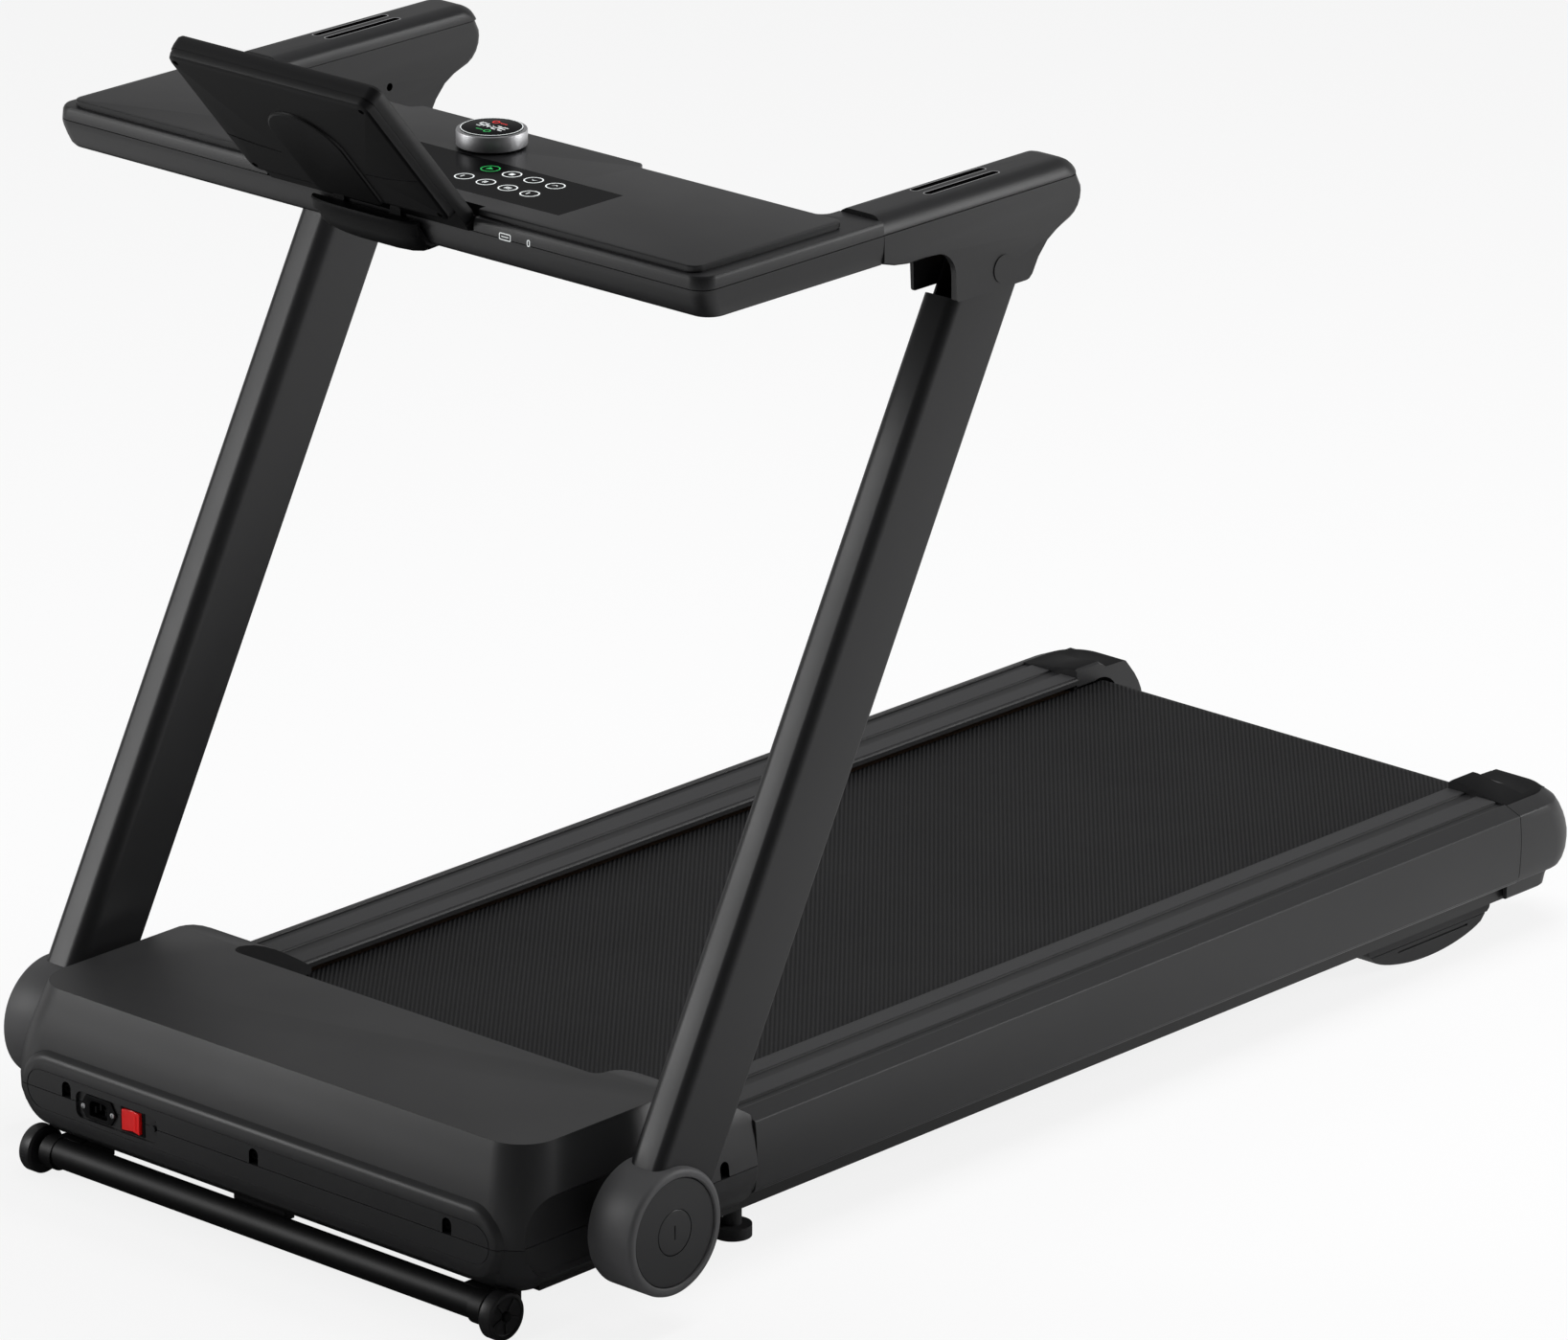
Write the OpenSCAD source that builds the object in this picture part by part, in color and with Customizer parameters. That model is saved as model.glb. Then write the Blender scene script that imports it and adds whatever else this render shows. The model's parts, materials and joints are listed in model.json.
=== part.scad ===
// Folding treadmill: powered deck, two leaning uprights on side hubs, and a
// console that a pair of hidden link rods keeps level while the uprights fold.
// +Z up, +Y towards the rear of the deck, origin on the floor at the middle
// of the base. Sizes in millimetres.

/* [Deck] */
// Length over the hood and the rear caps
base_l = 1590; // [1450:10:1750]
// Width of the running belt
belt_w = 510; // [420:5:560]
// Height of the step rails above the floor
rail_h = 142; // [134:1:170]
// Width of one step rail, from its inner lip to its outer face
rail_w = 94; // [86:1:120]
// Diameter of the two rollers, without the belt
roller_d = 46; // [40:1:52]
// Thickness of the deck board
board_t = 18; // [14:1:22]
// Height of the skirt's lower edge above the floor
skirt_z = 61; // [56:1:70]

/* [Hood] */
// Height of the hood's flat top
hood_h = 190; // [180:1:225]
// Distance from the foremost point, on the wheels, to the hub line
hub_back = 143; // [134:1:170]
// Height of the line between the two hood halves
part_z = 95; // [88:1:102]
// Radius of the hood's standing corners
hood_r = 46; // [30:1:60]

/* [Uprights] */
// Diameter of the side hubs
hub_d = 126; // [116:1:140]
// Thickness of the side hubs
hub_t = 56; // [54:1:66]
// Height of the hub axis above the floor
hub_z = 101.4; // [96:0.2:112]
// Depth of an upright's tube
post_d = 76; // [70:1:84]
// Width of an upright's tube
post_w = 45; // [42:1:48]
// Length from the hub axis to the console pivot
post_l = 950; // [800:5:1100]
// Lean of the uprights from the vertical
post_lean = 28.2; // [20:0.2:34]

/* [Console] */
// Depth of the console from front to back
console_d = 224; // [200:2:270]
// Thickness of the console frame without its top plate
console_t = 43; // [39:1:52]
// Length of a handle behind the console
handle_l = 293; // [270:1:340]
// Width of a handle
handle_w = 58; // [56:1:64]
// Diameter of the speed knob
knob_d = 68; // [50:1:80]
// Height of the speed knob above the top plate
knob_h = 19; // [16:1:26]

/* [Tablet holder] */
// Width of the tablet holder
holder_w = 264; // [220:2:320]
// Height of the tablet holder along its slope
holder_h = 200; // [160:1:240]
// Thickness of the tablet holder
holder_t = 16; // [14:1:20]
// Depth of the raised back of the tablet holder
holder_back = 9; // [4:0.5:12]
// Lean of the tablet holder from the vertical
holder_lean = 40; // [30:1:50]

/* [Transport bar] */
// Diameter of the transport wheels
wheel_d = 48; // [40:1:52]
// Diameter of the bar between the wheels
bar_d = 26; // [20:1:30]

/* [Clearances] */
// Radial play of a shaft that turns in its bore
run_gap = 0.05; // [0.03:0.01:0.08]
// Gap between pieces that pass each other
part_gap = 0.5; // [0.4:0.1:0.8]

/* [Hidden] */

BLACK = "#3c3c3e";
DARK = "#262627";
STEEL = "#8c9096";
$fn = 64;

// Lines across the machine, measured from its middle plane
wall = 3;
rail_in = belt_w/2 - 4;
rail_out = rail_in + rail_w;
edge_x = rail_out - 24;
chassis_out = rail_out - 19;
chassis_in = chassis_out - 44;
hub_in = rail_out + 22;
hub_out = hub_in + hub_t;
post_x = hub_in + 4 + post_w/2;
handle_out = hub_out + 1;
handle_in = handle_out - handle_w;

// Lines along the machine, measured from the hub axis
hub_y = hub_back - base_l/2;
front_y = 3 - hub_back;
rear_y = base_l - hub_back;
front_roller_y = 45;
rear_roller_y = rear_y - 69;
skirt_y0 = 192;
rail_y0 = 128;
cap_y = rear_y - 107;
chassis_y0 = -84;
chassis_y1 = rear_y - 42;

bar_y0 = wheel_d/2 - hub_back;
bar_z = wheel_d/2;
wheel_x0 = rail_out - 43;
wheel_x1 = wheel_x0 + 16;

// Heights
belt_t = 2;
belt_z = rail_h - 9.4;
roller_r = roller_d/2;
roller_z = belt_z - belt_t - roller_r;
chassis_z0 = 42;
chassis_z1 = min(96, roller_z - 9);
board_z = belt_z - belt_t - board_t;
lip_z = belt_z + 2;

// Rollers, pulleys and motor
axle_r = 8;
pulley_r = 36;
motor_pulley_r = 14;
pulley_w = 14;
pulley_x = belt_w/2 + 7;
motor_y = -58;
motor_z = chassis_z0 + 73;
motor_r = 42;
drive_t = 2;

// Hubs, shafts and the console pivot
shaft_r = 15;
bush_t = 3;
crank_l = 30;
crank_a = 120;
pocket_r = 43;
pocket_x = hub_in + 25;
cap_r = hub_d/2 - 9;
cap_t = 3.2;
button_r = 22.4;
button_travel = 4;
rod_r = 4;
rod_x = pocket_x + 14;
rod_eye_r = 8;
rod_eye_t = 6;
post_wall = 2.5;
post_s0 = pocket_r + 3;
post_s1 = post_l + 16;
pin_r = 8;
pivot_y = post_l*sin(post_lean);
pivot_z = hub_z + post_l*cos(post_lean);

// Console, measured from the pivot so that it follows the uprights
console_z0 = pivot_z + 38.6;
console_z1 = console_z0 + console_t;
seam_z = console_z0 + 30;
plate_t = 7;
plate_z = console_z1 + plate_t;
console_y1 = pivot_y - 187;
console_y0 = console_y1 - console_d;
handle_y0 = console_y1 + 21;
handle_y1 = console_y1 + 21 + handle_l;
handle_z1 = console_z1 + 4.5;
plate_x = handle_out - 16;
bracket_z0 = pivot_z - 18;
bracket_y0 = pivot_y - 64;
bracket_y1 = pivot_y + 43;
tail_wall = 2.3;
bracket_wall = 3.5;
knob_y = console_y1 - 60.5;

// Tablet holder
holder_r = holder_t/2;
holder_y = console_y0 + 4.2;
holder_z = console_z1 - 7.3;
holder_back_z = 22;
lug_x = 30;
lug_w = 14;
lug_r = holder_r;
holder_pin_r = 3;

// Front panel of the hood
inlet_x = -213.7;
inlet_z = part_z - 2.6;
switch_x = -167.5;
switch_z = part_z - 1.5;
reset_x = -136.7;
panel_y = front_y + 9;
rocker_y = panel_y + 2.5;
trunnion_r = 1.5;
screw_x = 256;
screw_z = part_z + 9;

// ---------- shapes ----------

module at_hub() translate([0, hub_y, 0]) children();

// Mirror for the left side: children are drawn on the +X side
module side(s) { if (s > 0) children(); else mirror([1, 0, 0]) children(); }
module both() { children(); mirror([1, 0, 0]) children(); }

// Rounded rectangle from (x0, y0) to (x1, y1)
module round_rect(x0, y0, x1, y1, r) {
    translate([x0 + r, y0]) square([x1 - x0 - 2*r, y1 - y0]);
    translate([x0, y0 + r]) square([x1 - x0, y1 - y0 - 2*r]);
    for (x = [x0 + r, x1 - r], y = [y0 + r, y1 - r]) translate([x, y]) circle(r);
}

// Rectangle standing on y0 whose far end at y1 is a full round
module round_end(x0, x1, y0, y1) {
    r = (x1 - x0)/2;
    translate([x0, y0]) square([x1 - x0, y1 - y0 - r]);
    translate([x0 + r, y1 - r]) circle(r);
}

module block(x0, x1, y0, y1, z0, z1) translate([x0, y0, z0]) cube([x1 - x0, y1 - y0, z1 - z0]);

// Side profile given as (y, z), pulled from x0 to x1
module along_x(x0, x1) translate([x0, 0, 0]) rotate([90, 0, 90]) linear_extrude(x1 - x0) children();

// Cross-section given as (x, z), pulled from y0 to y1
module along_y(y0, y1) translate([0, y1, 0]) rotate([90, 0, 0]) linear_extrude(y1 - y0) children();

// Cylinder along X about (y, z)
module bar_x(x0, x1, y, z, r) translate([x0, y, z]) rotate([0, 90, 0]) cylinder(h = x1 - x0, r = r);

// Cylinder along Y about (x, z)
module bar_y(y0, y1, x, z, r) translate([x, y1, z]) rotate([90, 0, 0]) cylinder(h = y1 - y0, r = r);

// Points of an arc about (cx, cy) from angle a0 to a1
function arc(cx, cy, r, a0, a1, n = 8) =
    [for (i = [0:n]) [cx + r*cos(a0 + (a1 - a0)*i/n), cy + r*sin(a0 + (a1 - a0)*i/n)]];

// Frame of an upright: origin on the hub axis, local Z along the tube, local Y to its back
module on_post() translate([0, 0, hub_z]) rotate([-post_lean, 0, 0]) children();

// Section of an upright: round front corners, tighter rear ones
module post_section(inset = 0) {
    w = post_w/2 - inset;
    d = post_d/2 - inset;
    rf = 16 - inset;
    rb = 5 - inset;
    translate([post_x, 0]) {
        translate([-w, -d + rf]) square([2*w, 2*d - rf - rb]);
        translate([-w + rf, -d]) square([2*(w - rf), 2*d]);
        translate([-w + rb, 0]) square([2*(w - rb), d]);
        for (x = [-w + rf, w - rf]) translate([x, -d + rf]) circle(rf);
        for (x = [-w + rb, w - rb]) translate([x, d - rb]) circle(rb);
    }
}

// ---------- chassis ----------

// One long box tube, with the rear axle bracket welded on top
module frame_rail() {
    t = 2.5;
    axle_x = chassis_in + 8;
    difference() {
        block(chassis_in, chassis_out, chassis_y0, chassis_y1, chassis_z0, chassis_z1);
        block(chassis_in + t, chassis_out - t, chassis_y0 - 1, chassis_y1 + 1, chassis_z0 + t, chassis_z1 - t);
    }
    for (y = [front_roller_y, rear_roller_y]) difference() {
        block(axle_x, axle_x + 5, y - 22, y + 22, chassis_z1, roller_z + 13);
        bar_x(axle_x - 1, axle_x + 6, y, roller_z, axle_r);
    }
}

module frame_rail_left() color(DARK) at_hub() side(-1) frame_rail();
module frame_rail_right() color(DARK) at_hub() side(1) frame_rail();

// Box tubes across the machine, below the belt's return run
module crossmembers() color(DARK) at_hub() {
    ys = [chassis_y0 + 6, 240, (240 + rear_roller_y)/2 - 60, rear_roller_y - 150];
    for (y = ys) difference() {
        block(-chassis_in, chassis_in, y, y + 40, chassis_z0, chassis_z0 + 25);
        block(-chassis_in - 1, chassis_in + 1, y + 2, y + 38, chassis_z0 + 2, chassis_z0 + 23);
    }
}

module deck_board() color("#4a3a2c") at_hub()
    block(-chassis_in - 16, chassis_in + 16, front_roller_y + roller_r + 20, rear_roller_y - roller_r - 14,
        board_z, board_z + board_t);

// Rubber blocks between the chassis and the board
module deck_cushions() color("#1c1c1d") at_hub() {
    n = 4;
    y0 = front_roller_y + 90;
    y1 = rear_roller_y - 90;
    for (i = [0:n - 1], s = [-1, 1])
        translate([s*(chassis_in + 8), y0 + (y1 - y0)*i/(n - 1), chassis_z1])
            cylinder(h = board_z - chassis_z1, r = 7.5);
}

// ---------- belt and rollers ----------

module loop_outline(r) {
    translate([front_roller_y, roller_z - r]) square([rear_roller_y - front_roller_y, 2*r]);
    for (y = [front_roller_y, rear_roller_y]) translate([y, roller_z]) circle(r);
}

module running_belt() color("#2c2c2d") at_hub() difference() {
    along_x(-belt_w/2, belt_w/2) loop_outline(roller_r + belt_t);
    along_x(-belt_w/2 - 1, belt_w/2 + 1) loop_outline(roller_r);
}

module roller(y) difference() {
    bar_x(-belt_w/2 - 4, belt_w/2 + 4, y, roller_z, roller_r);
    bar_x(-belt_w/2 - 5, belt_w/2 + 5, y, roller_z, roller_r - 3);
}

// Ball bearings pressed into both ends of a roller
module bearings(y) both() difference() {
    bar_x(belt_w/2 - 10, belt_w/2 + 2, y, roller_z, roller_r - 3);
    bar_x(belt_w/2 - 11, belt_w/2 + 3, y, roller_z, axle_r + run_gap);
}

module axle(y) bar_x(-chassis_in - 18, chassis_in + 18, y, roller_z, axle_r);

module front_roller() color(STEEL) at_hub() roller(front_roller_y);
module front_roller_bearings() color("silver") at_hub() bearings(front_roller_y);
module rear_roller() color(STEEL) at_hub() roller(rear_roller_y);
module roller_axles() color(STEEL) at_hub() {
    axle(front_roller_y);
    axle(rear_roller_y);
}
module rear_roller_bearings() color("silver") at_hub() bearings(rear_roller_y);

// Grooved pulley fixed to the front roller's right end
module roller_pulley() color("#5a5c60") at_hub() difference() {
    union() {
        bar_x(pulley_x, pulley_x + pulley_w, front_roller_y, roller_z, pulley_r);
        bar_x(belt_w/2 + 4, pulley_x, front_roller_y, roller_z, roller_r - 1);
    }
    bar_x(belt_w/2, pulley_x + pulley_w + 1, front_roller_y, roller_z, axle_r + 1);
}

// Bolts that pull the rear axle backwards to tighten the belt
module tension_bolts() color("#77797d") at_hub() both() {
    x = chassis_in + 15.5;
    bar_y(rear_roller_y + axle_r, rear_y - 14, x, roller_z, 2.4);
    difference() {
        bar_y(rear_y - 14, rear_y - 8, x, roller_z, 5);
        translate([x, rear_y - 7, roller_z]) rotate([90, 0, 0]) cylinder(h = 5, r = 2.9, $fn = 6);
    }
}

// ---------- motor ----------

motor_x0 = 60;
motor_x1 = pulley_x - 14;

module motor() color("#3a3d42") at_hub() difference() {
    union() {
        bar_x(motor_x0 + 10, motor_x1 - 10, motor_y, motor_z, motor_r);
        bar_x(motor_x0, motor_x0 + 10, motor_y, motor_z, motor_r - 3);
        bar_x(motor_x1 - 10, motor_x1, motor_y, motor_z, motor_r - 3);
    }
    bar_x(motor_x1 - 60, motor_x1 + 1, motor_y, motor_z, 6 + run_gap);
}

// Rotor shaft with the belt pulley and the flywheel on its free end
module motor_pulley() color("#7d8086") at_hub() {
    bar_x(motor_x1 - 58, pulley_x + pulley_w + 2, motor_y, motor_z, 6);
    difference() {
        bar_x(pulley_x, pulley_x + pulley_w, motor_y, motor_z, motor_pulley_r);
        bar_x(pulley_x - 1, pulley_x + pulley_w + 1, motor_y, motor_z, 6);
    }
}

module motor_bracket() color(DARK) at_hub() difference() {
    block(motor_x0 + 20, motor_x1 - 20, chassis_y0 + 6, motor_y + 50, chassis_z0 + 25, motor_z - 20);
    bar_x(motor_x0, motor_x1, motor_y, motor_z, motor_r + 0.1);
}

// Loop round the two pulleys, r away from each
module belt_outline(r) hull() {
    translate([motor_y, motor_z]) circle(motor_pulley_r + r);
    translate([front_roller_y, roller_z]) circle(pulley_r + r);
}

module drive_belt() color("#1a1a1b") at_hub() difference() {
    along_x(pulley_x + 2, pulley_x + pulley_w - 2) belt_outline(part_gap + drive_t);
    along_x(pulley_x, pulley_x + pulley_w) belt_outline(part_gap);
}

// Motor controller: circuit box with cooling fins
module controller() color("#55585c") at_hub() {
    z = chassis_z0 + 25;
    block(-110, 20, -80, -10, z, z + 34);
    for (i = [0:7]) block(-108 + i*17, -102 + i*17, -76, -14, z + 34, z + 52);
}

// ---------- hood ----------

hood_x0 = rail_out + 7;
hood_x1 = rail_out - 14;
hood_y1 = 117;
hood_lean = 29;

// Slab of the hood's plan at height z; g shrinks it for the inside
module hood_slab(hx, y0, y1, z, r, g) translate([0, 0, z]) linear_extrude(0.4)
    round_rect(-hx + g, y0 + g, hx - g, y1 - g, r - g);

module hood_upper(g = 0) hull() {
    hood_slab(hood_x0, front_y + 3, skirt_y0 - 2, part_z - 1, hood_r, g, $fn = 32);
    hood_slab(hood_x1, front_y + 3 + hood_lean, hood_y1, hood_h - 0.4 - g, hood_r - 8, g, $fn = 32);
}

module hood_lower(g = 0) hull() {
    hood_slab(hood_x0, front_y + 3, skirt_y0 - 2, part_z, hood_r, g, $fn = 32);
    hood_slab(hood_x0 - 3, front_y + 5, skirt_y0 - 2, 66, hood_r - 4, g, $fn = 32);
    hood_slab(hood_x0 - 25, front_y + 30, skirt_y0 - 2, chassis_z0 - 4 + g, hood_r - 24, g, $fn = 32);
}

// Long pill across the front, swelling out from both halves
module front_pill(g = 0) along_y(front_y + g, front_y + 24)
    round_rect(-hood_x0 + 32 + g, part_z - 36 + g, hood_x0 - 32 - g, part_z + 36 - g, 35.9 - g);

// Round-ended hollow in the hood's side in front of and behind the hub
module side_hollow(g = 0) both() along_x(hood_x0 - 16 + g, hood_x0 + 20 + g) {
    translate([-79, hub_z - 1]) circle(40 - g);
    translate([60, hub_z - 1]) circle(40 - g);
    translate([-79, hub_z - 41 + g]) square([139, 80 - 2*g]);
}

// Everything that is cut out of both hood halves
module hood_cuts() {
    both() bar_x(hood_x0 - 40, hood_x0, 0, hub_z, shaft_r + 4);
    both() block(chassis_in, chassis_out + part_gap, chassis_y0 - part_gap, 60, chassis_z0 - part_gap, chassis_z1);
    block(-chassis_out - 1.5, chassis_out + 1.5, 50, skirt_y0 + 5, chassis_z0 - 0.5, board_z + board_t + 4);
    both() block(rail_in - 4, edge_x + 1, rail_y0 - 6, skirt_y0 + 5, board_z, rail_h + 0.8);
    both() bar_x(wheel_x0 - 3, wheel_x1 + 3, bar_y0, bar_z, wheel_d/2 + 3);
    both() block(wheel_x0 - 45, wheel_x0 - 11, bar_y0 - 1, chassis_y0 + 15, bar_z, chassis_z0 + 1);
    panel_cuts();
}

// Recess for the inlet, switch and breaker, and the arched screw pockets
module panel_cuts() {
    along_y(front_y - 1, panel_y) round_rect(inlet_x - 29, inlet_z - 15, reset_x + 9, inlet_z + 15, 8);
    along_y(panel_y - 1, front_y + 40) {
        translate([inlet_x - 14, inlet_z - 10.5]) square([28, 21]);
        translate([switch_x - 14.5, switch_z - 11]) square([29, 22]);
        translate([reset_x, inlet_z + 2]) circle(5.2);
    }
    for (x = [-screw_x, 0, screw_x]) along_y(front_y - 1, front_y + 10) translate([x, screw_z]) screw_arch();
    both() along_x(hood_x0 - 12, hood_x0 + 10) translate([142, screw_z]) screw_arch();
}

module screw_arch() {
    translate([0, 1]) circle(6);
    translate([-6, -8]) square([12, 9]);
}

module panel_back() along_y(front_y + 5, panel_y + wall)
    translate([inlet_x - 33, inlet_z - 19]) square([reset_x - inlet_x + 46, 36]);

module pocket_backs() {
    for (x = [-screw_x, 0, screw_x]) block(x - 9, x + 9, front_y + 5, front_y + 13, screw_z - 9, screw_z + 12);
    both() block(hood_x0 - 15, hood_x0 - 4, 133, 151, screw_z - 9, screw_z + 12);
}

// One hood half: outer form, inner form and the half of space it fills
module hood_shell() difference() {
    intersection() {
        union() {
            difference() {
                union() { children(0); front_pill(); }
                children(1);
            }
            intersection() {
                union() { side_hollow(-wall); panel_back(); pocket_backs(); }
                children(0);
            }
        }
        children(2);
    }
    side_hollow();
    hood_cuts();
}

module above_seam() block(-500, 500, front_y - 5, skirt_y0, part_z + 0.15, hood_h);
module below_seam() block(-500, 500, front_y - 5, skirt_y0, 30, part_z - 0.15);

// Upper half: flat top, leaning front, two ears that run back over the step rails
module hood_cover() color(BLACK) at_hub() difference() {
    hood_shell() { hood_upper(); hood_upper(wall); above_seam(); }
    block(-rail_in + 3, rail_in - 3, 80, skirt_y0 + 5, belt_z - 60, hood_h + 1);
}

module hood_pan() color(BLACK) at_hub() hood_shell() { hood_lower(); hood_lower(wall); below_seam(); }

// Screws at the bottom of the arched pockets
module cover_screws() color("#77797d") at_hub() {
    for (x = [-screw_x, 0, screw_x]) difference() {
        bar_y(front_y + 7, front_y + 10, x, screw_z, 4.5);
        bar_y(front_y + 6, front_y + 8.5, x, screw_z, 1.6);
    }
    both() bar_x(hood_x0 - 12, hood_x0 - 9, 142, screw_z, 4.5);
}

// ---------- front panel ----------

module inlet_outline(g = 0) {
    square([34 - g, 27 - g], center = true);
    for (s = [-1, 1]) polygon([[s*(17 - g), 13.5 - g], [s*(25 - g), 0], [s*(17 - g), -13.5 + g]]);
}

// Three-pin socket for the mains lead, held by two screws 40 mm apart
module power_inlet() color(DARK) at_hub() translate([inlet_x, 0, inlet_z]) {
    difference() {
        union() {
            along_y(panel_y - 3, panel_y) inlet_outline();
            along_y(panel_y, panel_y + 24) square([27, 20], center = true);
        }
        along_y(panel_y - 4, panel_y + 14) round_rect(-12, -8, 12, 8, 3);
        for (s = [-1, 1]) bar_y(panel_y - 4, panel_y + 1, s*20, 0, 1.7);
    }
    for (x = [-7, 0, 7]) block(x - 1, x + 1, panel_y + 2, panel_y + 14, x == 0 ? 0.5 : -4.5, x == 0 ? 4.5 : -0.5);
}

module switch_frame() color(DARK) at_hub() translate([switch_x, 0, switch_z]) difference() {
    union() {
        along_y(panel_y - 2, panel_y) round_rect(-16.5, -12.5, 16.5, 12.5, 1.5);
        along_y(panel_y, panel_y + 22) square([28.4, 21.4], center = true);
    }
    along_y(panel_y - 3, panel_y + 18) square([26.4, 19.4], center = true);
    translate([0, rocker_y, -12]) cylinder(h = 24, r = trunnion_r + run_gap);
}

// Red rocker: two faces that meet in a shallow V, on two trunnions that stand upright in the frame
module switch_rocker() color("red") at_hub() translate([switch_x, rocker_y, switch_z]) {
    translate([0, 0, -9.2]) linear_extrude(18.4) polygon(concat(
        [[-12, -6.7], [0, -4.1], [12, -6.7], [12, 0]], arc(0, 0, 12, 20, 160, 10), [[-12, 0]]));
    translate([0, 0, -10.5]) cylinder(h = 21, r = trunnion_r);
}

module reset_breaker() color(DARK) at_hub() translate([reset_x, 0, inlet_z + 2]) difference() {
    union() {
        bar_y(panel_y - 1.5, panel_y, 0, 0, 7);
        bar_y(panel_y, panel_y + 18, 0, 0, 5);
    }
    bar_y(panel_y - 2, panel_y + 14, 0, 0, 3.4);
}

module reset_button() color("#1d1d1e") at_hub()
    bar_y(panel_y - 4.5, panel_y + 8, reset_x, inlet_z + 2, 3);

// ---------- rails, skirts and caps ----------

// Top of one step rail: inner lip, two raised bands for the strips, a leg on the board
module rail_cover() {
    t = 4;
    top = rail_h - 1;
    along_y(rail_y0, cap_y) {
        translate([rail_in, top - t]) square([edge_x - rail_in, t]);
        translate([rail_in, lip_z]) square([3, top - lip_z]);
        translate([chassis_in + 10, board_z + board_t]) square([4, top - board_z - board_t - 1]);
        translate([edge_x - 5, top - t - 6]) square([5, t + 6]);
    }
}

module rail_cover_left() color("#363637") at_hub() side(-1) rail_cover();
module rail_cover_right() color("#363637") at_hub() side(1) rail_cover();

// Grip strips: one along the lip and one further out, on each rail
strip_w = rail_w*0.25;
strip_gap = rail_w*0.138;
module grip_strips() color("#4b4b4c") at_hub() both()
    for (i = [0, 1]) {
        x = rail_in + i*(strip_w + strip_gap);
        block(x, x + strip_w, skirt_y0 + 12, cap_y, rail_h - 1, rail_h);
    }

// Tall side cover: bevel at the top, gently bowed face, return flange on the chassis
module side_skirt() {
    t = 3;
    bow = 2.5;
    n = 10;
    z0 = skirt_z + 2;
    z1 = rail_h - 9;
    outer = [for (i = [0:n]) [rail_out - bow + bow*sin(180*i/n), z0 + (z1 - z0)*i/n]];
    inner = [for (i = [n:-1:0]) [rail_out - bow - t + bow*sin(180*i/n), z0 + (z1 - z0)*i/n]];
    along_y(skirt_y0, cap_y) polygon(concat(
        [[chassis_out, skirt_z - 1], [rail_out - bow - t, skirt_z - 1]], outer,
        [[edge_x, rail_h - 0.5], [edge_x, rail_h - 4]], inner, [[chassis_out, skirt_z + 2]]));
}

module side_skirt_left() color(BLACK) at_hub() side(-1) side_skirt();
module side_skirt_right() color(BLACK) at_hub() side(1) side_skirt();

// Side profile of a rear cap, (y, z)
cap_top = rail_h + 3;
module cap_profile(g) {
    y1 = rear_y - g;
    bulge = (cap_top - skirt_z)/2 + 4;
    mid = (cap_top + skirt_z)/2 - 8;
    intersection() {
        translate([cap_y - 30, skirt_z + g]) square([y1 - cap_y + 30, cap_top - skirt_z - 2*g]);
        union() {
            translate([cap_y - 30, skirt_z]) square([y1 - bulge - cap_y + 42, cap_top - skirt_z]);
            translate([y1 - bulge - 8, mid]) circle(bulge + 8);
        }
    }
}

module cap_plan(g) {
    r = 26;
    translate([rail_in + g, cap_y - 1]) square([rail_out - rail_in - r - g, rear_y - cap_y + 1]);
    translate([rail_in + g, cap_y - 1]) square([rail_out - rail_in - 2*g, rear_y - cap_y + 1 - r]);
    translate([rail_out - r - g, rear_y - r]) circle(r);
}

// Rear corner cap: a hollow shell with an arched guard over the belt's edge
module rear_cap() difference() {
    intersection() {
        along_x(rail_in, rail_out) cap_profile(0);
        translate([0, 0, 30]) linear_extrude(150) cap_plan(0);
        block(rail_in, rail_out, cap_y, rear_y, 0, 200);
    }
    intersection() {
        along_x(rail_in + wall, rail_out) cap_profile(wall);
        translate([0, 0, 30]) linear_extrude(150) cap_plan(wall);
    }
    bar_x(rail_in - 1, belt_w/2 + 8, rear_roller_y, roller_z, roller_r + belt_t + 2);
    block(rail_in - 1, belt_w/2 + 8, cap_y - 5, rear_roller_y, 0, lip_z);
    block(rail_in - 1, chassis_out + 0.2, cap_y - 5, chassis_y1 + 1, 0, chassis_z1 + 0.3);
    bar_y(rear_y - 40, rear_y + 5, chassis_in + 15.5, roller_z, 7);
}

module rear_cap_left() color("#2b2b2c") at_hub() side(-1) rear_cap();
module rear_cap_right() color("#2b2b2c") at_hub() side(1) rear_cap();

// Long rubber feet under the rear of the chassis, curved up at both ends
module rear_feet() color("#29292a") at_hub() both() intersection() {
    block(chassis_in - 8, chassis_in + 26, rear_y - 286, rear_y - 94, 0, chassis_z0);
    along_x(chassis_in - 10, chassis_in + 30) translate([rear_y - 196, 330]) circle(330, $fn = 180);
}

// Short feet under the front of the chassis
module front_feet() color("#29292a") at_hub() both()
    translate([chassis_in + 12, 215, 0]) {
        cylinder(h = 12, r = 19);
        translate([0, 0, 12]) cylinder(h = chassis_z0 - 12, r = 9);
    }

// ---------- transport bar ----------

// Steel tube across the front on two welded arms, with a stub axle at each end
module transport_bar() color(DARK) at_hub() {
    difference() {
        bar_x(-wheel_x0 + 2, wheel_x0 - 2, bar_y0, bar_z, bar_d/2);
        bar_x(-wheel_x0 + 8, wheel_x0 - 8, bar_y0, bar_z, bar_d/2 - 2);
    }
    both() {
        bar_x(wheel_x0 - 2, wheel_x1 + 2, bar_y0, bar_z, 5);
        difference() {
            block(wheel_x0 - 44, wheel_x0 - 12, bar_y0, chassis_y0 + 14, bar_z - 8, chassis_z0);
            bar_x(wheel_x0 - 60, wheel_x0, bar_y0, bar_z, bar_d/2 - 0.5);
        }
    }
}

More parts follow.
